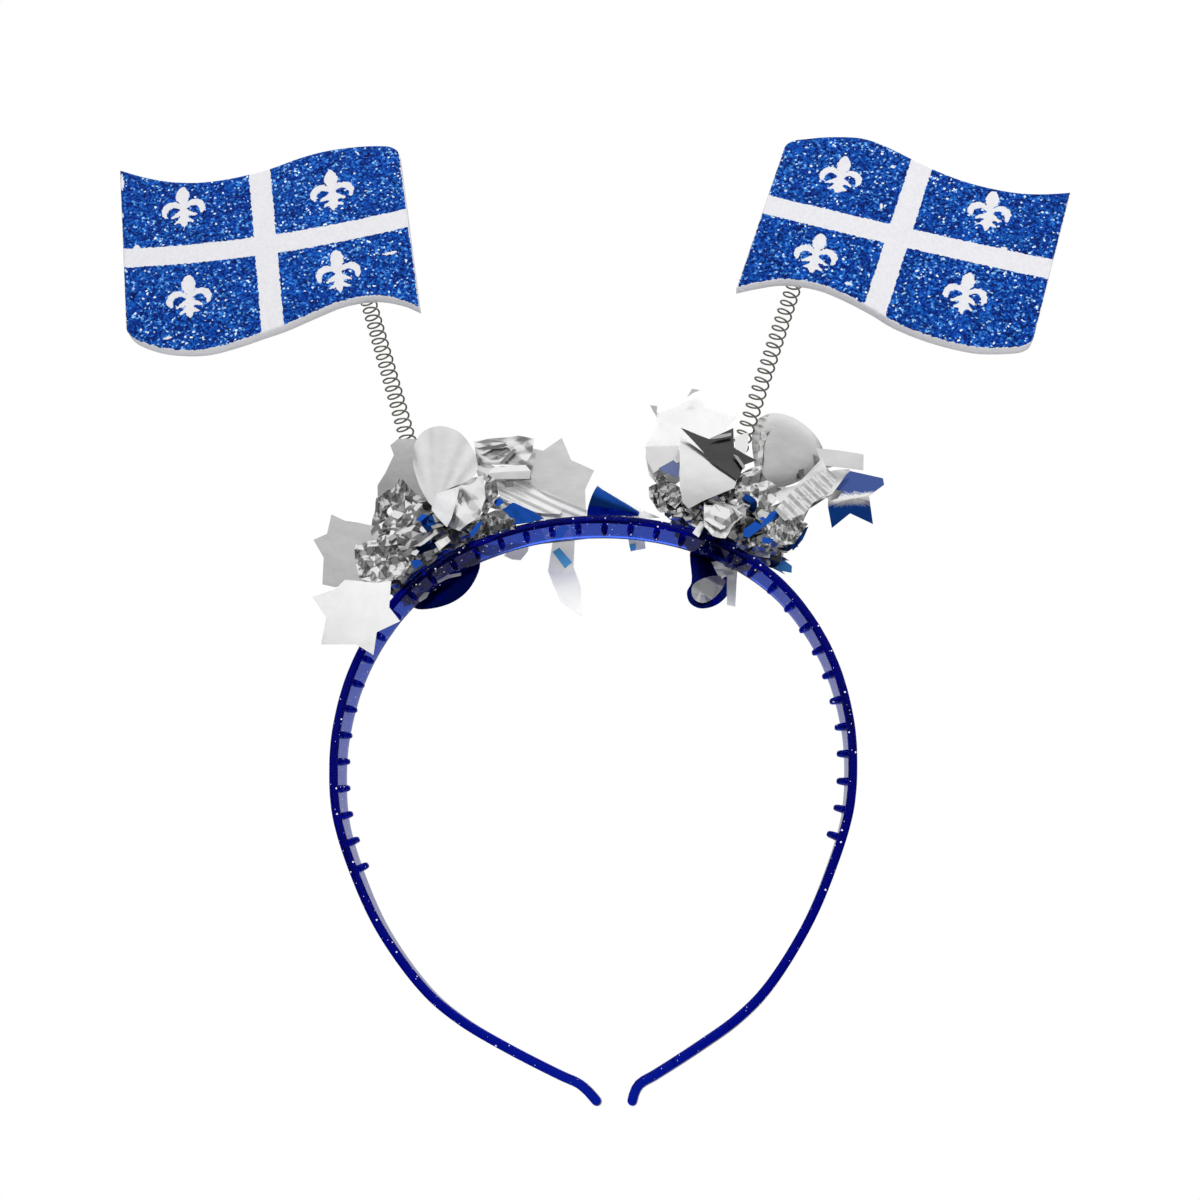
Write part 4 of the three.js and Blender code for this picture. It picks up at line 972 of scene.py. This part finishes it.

# patches, patchSpread, dimmest and tones set painted reflection: random tones from near black to bright on
# the heart's facets and its shards
heap = {
    "bands": 40, "spokes": 60, "waves": 9, "waveTurns": (2.5, 6), "dent": 0.22, "jitter": 0.5,
    "patches": 260, "patchSpread": 0.8, "dimmest": 0.75, "tones": (0.15, 0.5, 0.8, 1.0, 1.1, 1.15),
    "blueShare": 0.045, "shards": 170, "shardRise": (0.82, 1.02), "shardLong": (3, 8),
    "shardWide": (1.2, 3.2), "shardSag": 0.18, "shardGap": 0.9, "rootGap": 2.0, "furthestPush": 5,
    "bandReach": 100, "bandSteps": 401,
}
foil = {
    "gauge": 0.12, "stemWidth": 2.4, "stemBehind": 1.2, "stemSteps": 6, "rings": 10, "sideSteps": 5,
    "innerRing": 0.05, "creaseWaves": 5, "middle": 1.5, "sharpAngle": 24, "firstSeed": 100,
}


def creases(x, z, rng, count, pitch):
    # sharp folds: the mean of triangle waves that run across the sheet in different directions
    height = np.zeros_like(x)
    for _ in range(count):
        a, phase, length = rng.uniform(0, np.pi), rng.uniform(0, 2), pitch * rng.uniform(0.7, 1.6)
        wave = (x * math.cos(a) + z * math.sin(a)) / length + phase
        height += np.abs(wave % 2 - 1) * length
    return height / count


def alongAngle(dx, dz, degrees):
    # distance along a direction that is turned this far from x towards z: dx cos + dz sin
    return dx * math.cos(math.radians(degrees)) + dz * math.sin(math.radians(degrees))


def sheetDepth(row, dx, dz, share, middle, seed):
    # depth y of a sheet: lean, bend k s^2, a fold's slope |s|, pleats fanning from a foot, a sine for ribs,
    # creases and a rim that grows as share^5
    size = max(np.ptp(dx), np.ptp(dz)) / 2
    y = row["y"] + row["lean"][0] * dx + row["lean"][1] * dz
    if "bend" in row:
        y = y + row["bend"][1] * alongAngle(dx, dz, row["bend"][0]) ** 2
    if "fold" in row:
        y = y + row["fold"][1] * np.abs(alongAngle(dx, dz, row["fold"][0] + 90))
    if "pleats" in row:
        foot, number, deep = row["pleats"]
        fromX, fromZ = dx - (foot[0] - middle[0]), dz - (foot[1] - middle[1])
        fan = np.arctan2(fromX, fromZ) * number
        y = y + deep * (1 - np.cos(fan * np.pi)) / 2 * np.hypot(fromX, fromZ) / size / 2
    if "ribs" in row:
        angle, pitch, deep = row["ribs"]
        y = y + deep * np.sin(2 * np.pi * alongAngle(dx, dz, angle) / pitch) / 2
    if "crumple" in row:
        part, pitch = row["crumple"]
        y = y + part * creases(dx, dz, np.random.default_rng(seed), foil["creaseWaves"], pitch)
    return y + row["rim"] * size * share ** 5


def faceMeans(values, faces):
    # each face's value is the mean of its corners' values
    return np.concatenate([values[block].mean(1) for block in faces])


def cutSheet(row, seed):
    # rings shrink from the cut outline to its middle; the back follows the front at the film's gauge
    corners = np.array(row["cut"], float)
    count, steps = len(corners), foil["sideSteps"] * row["fine"]
    if row["round"]:
        around = np.vstack([corners[-1:], corners, corners[:2]])
        edge = smoothCurve(around, 0.5, steps)[steps:steps * (count + 1)]
    else:
        t = np.linspace(0, 1, steps, endpoint=False)[:, None]
        edge = (corners[:, None] * (1 - t) + np.roll(corners, -1, 0)[:, None] * t).reshape(-1, 2)
    middle = corners.mean(0)
    share = np.linspace(foil["innerRing"], 1, foil["rings"] * row["fine"])[:, None]
    dx, dz = np.moveaxis((edge - middle) * share[..., None], -1, 0)
    y = sheetDepth(row, dx, dz, share, middle, seed)
    front = np.stack([dx + middle[0], y, dz + middle[1]], -1)
    back = front + (0, foil["gauge"], 0)
    points, faces = sweptBody(np.concatenate([front, back[::-1]]))
    upper, lower = dz > foil["middle"], dz < -foil["middle"]
    blue = np.full(dx.shape, float(row["blue"]))
    blue = np.where(upper, np.maximum(blue, row["blueTop"]), blue)
    blue = np.where(lower, np.maximum(blue, row["blueLow"]), blue)
    tone = np.where(upper, row.get("toneTop", row["tone"]), row["tone"])
    silver = np.zeros(dx.size)
    blues = faceMeans(np.concatenate([blue.ravel(), silver, [blue[0, 0], 0]]), faces)
    tones = faceMeans(np.concatenate([tone.ravel(), tone.ravel(), [tone[0, 0], tone[0, 0]]]), faces)
    return points, faces, blues, tones, np.full(len(blues), float(row["matt"]))


def stemBody(path, tone, wide=foil["stemWidth"]):
    # a flat strip of film along a path: its section is one gauge deep and its width across
    line = smoothCurve(np.array(path, float), 0.5, foil["stemSteps"])
    ahead = np.gradient(line, axis=0)
    ahead /= np.linalg.norm(ahead, axis=1, keepdims=True)
    side = np.cross(ahead, (0.0, 1.0, 0.0))
    side /= np.maximum(np.linalg.norm(side, axis=1, keepdims=True), 1e-6)
    normal = np.cross(side, ahead)
    w, g = wide / 2, foil["gauge"] / 2
    rings = np.stack([line + side * a + normal * b for a, b in ((-w, -g), (w, -g), (w, g), (-w, g))], 1)
    points, faces = sweptBody(rings)
    total = sum(len(block) for block in faces)
    return points, faces, np.zeros(total), np.full(total, tone), np.zeros(total)


def coneBody(row):
    # a rolled cone: rings run from its tip along the blue outside to the mouth and back down the inside
    start, end = np.array(row["foot"], float), np.array(row["tip"], float)
    ahead = (end - start) / np.linalg.norm(end - start)
    side = np.cross(ahead, (0.0, 1.0, 0.0))
    count, spokes = row["rings"], row["spokes"]
    t = np.concatenate([np.linspace(1, 0, count), np.linspace(0, row["inside"], count)])
    inset = np.repeat([0, foil["gauge"]], count)
    radius = np.maximum(row["radius"][0] + (row["radius"][1] - row["radius"][0]) * t - inset, 0.05)
    a = np.linspace(0, 2 * np.pi, spokes, endpoint=False)[:, None]
    ring = np.cos(a) * side + np.sin(a) * np.array([0, 1.0, 0])
    slant = row["slant"] * (1 - t)[:, None, None] * np.cos(a) * ahead  # the mouth is cut at an angle
    rings = start + t[:, None, None] * (end - start) + radius[:, None, None] * ring + slant
    points, faces = sweptBody(rings)
    outside = np.repeat(np.arange(2 * count - 1) < count, spokes)
    blue = np.concatenate([outside, np.ones(spokes), np.zeros(spokes)])
    return points, faces, blue, np.full(len(blue), row["tone"]), np.zeros(len(blue))


def offBand(points, gap):
    # points in front of the band's rear edge are pushed out of it, to gap above its outer face
    arcs = np.linspace(-heap["bandReach"], heap["bandReach"], heap["bandSteps"])
    centre, _, normal = bandAt(arcs)
    near = ((points[:, None, [0, 2]] - centre) ** 2).sum(-1).argmin(1)
    height = ((points[:, [0, 2]] - centre[near]) * normal[near]).sum(-1)
    lack = band["thickness"] / 2 + gap - height
    push = np.where((lack > 0) & (points[:, 1] < band["width"] / 2 + gap), lack, 0)
    points[:, [0, 2]] += normal[near] * push[:, None]
    return points


def turnedHeart(row, points):
    # scales unit vectors to the heart and turns them up by its slope in the x-z plane
    s = math.radians(row["slope"])
    turn = np.array([[math.cos(s), 0, math.sin(s)], [0, 1, 0], [-math.sin(s), 0, math.cos(s)]])
    return (points * (row["along"], row["deep"], row["across"])) @ turn + row["centre"]


def heartBody(row, rng):
    # an ellipsoid whose radius is dented by triangle waves and jittered, so that it breaks into small facets,
    # whose tones, random in patches, are painted reflection
    b = np.linspace(-np.pi / 2, np.pi / 2, heap["bands"] + 2)[1:-1, None]
    a = np.linspace(0, 2 * np.pi, heap["spokes"], endpoint=False)[None, :]
    ball = np.stack([np.cos(b) * np.cos(a), np.cos(b) * np.sin(a), np.sin(b) * np.ones_like(a)], -1)
    dent = np.zeros(ball.shape[:2])
    for _ in range(heap["waves"]):
        way = rng.normal(size=3)
        wave = ball @ (way / np.linalg.norm(way)) * rng.uniform(*heap["waveTurns"]) + rng.uniform(0, 2)
        dent += np.abs(wave % 2 - 1) - 0.5
    ball = ball * (1 + heap["dent"] * dent / math.sqrt(heap["waves"]))[..., None]
    loose = rng.normal(0, heap["jitter"], ball.shape) * np.cos(b)[..., None]
    points, faces = sweptBody(turnedHeart(row, ball) + loose)
    points = offBand(points, band["clearance"])
    middles = np.vstack([points[block].mean(1) for block in faces])
    count = heap["patches"]
    seeds = middles[rng.integers(0, len(middles), count)] + rng.normal(0, heap["patchSpread"], (count, 3))
    nearest = ((middles[:, None] - seeds) ** 2).sum(-1).argmin(1)
    # painted reflection: each patch of facets takes a random tone, dimmed a little more per facet
    tones = rng.choice(heap["tones"], count)[nearest] * rng.uniform(heap["dimmest"], 1, len(middles))
    blues = (rng.random(count) < heap["blueShare"]).astype(float)[nearest]
    return points, faces, blues, tones, np.zeros(len(tones))


def shardBodies(row, rng):
    # torn strips standing out of the heart: each is a bent strip of film with its own tone, a painted
    # reflection picked at random from the heart's tones
    bodies = []
    ways = rng.normal(size=(heap["shards"], 3))
    ways /= np.linalg.norm(ways, axis=1, keepdims=True)
    places = turnedHeart(row, ways * rng.uniform(*heap["shardRise"], (heap["shards"], 1)))
    moved = offBand(places.copy(), heap["rootGap"])
    for place, was in zip(moved, places):
        long, wide = rng.uniform(*heap["shardLong"]), rng.uniform(*heap["shardWide"])
        way = rng.normal(size=3)
        tone, blue = rng.choice(heap["tones"]), float(rng.random() < heap["blueShare"])
        if np.linalg.norm(place - was) > heap["furthestPush"]:
            continue
        way *= long / 2 / np.linalg.norm(way)
        sag = rng.normal(0, heap["shardSag"], 3) * long
        path = offBand(np.array([place - way, place + sag, place + way]), heap["shardGap"])
        points, faces, blues, tones, matts = stemBody(path, tone, wide)
        bodies.append((points, faces, blues + blue, tones, matts))
    return bodies


def foilFilm():
    # metallised polyester film, rolled and die cut: a mirror finish that picks up the room, silver on one
    # face and blue lacquer on the other, slightly dulled by handling
    material, tree = newMaterial("metallised polyester film")
    where = addNode(tree, "ShaderNodeTexCoord")
    blue = addNode(tree, "ShaderNodeAttribute", attribute_name="blueFace")
    tone = addNode(tree, "ShaderNodeAttribute", attribute_name="tone")
    smear = noiseNode(tree, where, 7, 3.0)
    third = mathNode(tree, "MULTIPLY", (blue, "Fac"), 1 / 3)
    # silver, royal, sky and navy
    face = rampNode(tree, (third, 0), [
        (0.0, "#f0f0f0"), (1 / 3, "#1c55b8"), (2 / 3, "#5fb2e4"), (1.0, "#0b1c7c")])
    cloud = mapNode(tree, (smear, "Fac"), (0.3, 0.7), (0.92, 1.03))
    # tone holds each face's own shade; on the heart, its shards and some sheets it is painted reflection,
    # highlight or shade
    shade = mathNode(tree, "MULTIPLY", (tone, "Fac"), (cloud, 0))
    colour = scaleNode(tree, (face, 0), (shade, 0))
    rough = mapNode(tree, (smear, "Fac"), (0.0, 1.0), (0.16, 0.3))
    matt = addNode(tree, "ShaderNodeAttribute", attribute_name="matt")  # the film's undyed back is pearly
    metal = mathNode(tree, "SUBTRACT", 1.0, (matt, "Fac"))
    bump = bumpNode(tree, (smear, "Fac"), 0.15, 1.0)
    finishMaterial(tree, {
        "Base Color": (colour, 0), "Metallic": (metal, 0), "Roughness": (rough, 0), "Normal": (bump, 0)})
    return material


def makeTuft(name, tuft, material):
    # the heart, its shards, every sheet with its stem and the cone, joined into one mesh with values per face
    rng = np.random.default_rng(tuft["seed"])
    heart = tuft["heart"]
    bodies = [heartBody(heart, rng), *shardBodies(heart, rng)]
    for k, given in enumerate(sheets[name].values()):
        row = {**usual, **given}
        bodies.append(cutSheet(row, foil["firstSeed"] + k))
        x, z = np.array(row["cut"], float).mean(0)
        straight = [heart["centre"], (x, row["y"] + foil["stemBehind"], z)]
        path = straight if row["stem"] == "straight" else row["stem"]
        if path:
            bodies.append(stemBody(path, row["tone"]))
    if tuft["cone"]:
        bodies.append(coneBody(tuft["cone"]))
    body = joinBodies([(points, faces) for points, faces, *_ in bodies])
    values = {key: ("FACE", np.concatenate([b[k] for b in bodies]))
              for k, key in ((2, "blueFace"), (3, "tone"), (4, "matt"))}
    bunch = makePiece(f"tuft_{name}_foil", body, material, values)
    bunch.data.set_sharp_from_angle(angle=math.radians(foil["sharpAngle"]))
    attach(bunch, "headband")
    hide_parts(f"tuft_{name}")
    return bunch


film = foilFilm()
for name, tuft in tufts.items():
    bunch = makeTuft(name, tuft, film)
    print("tuft made:", name, len(bunch.data.polygons), "faces")

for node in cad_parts.values():
    if not node.data.materials:
        node.data.materials.append(plastic)
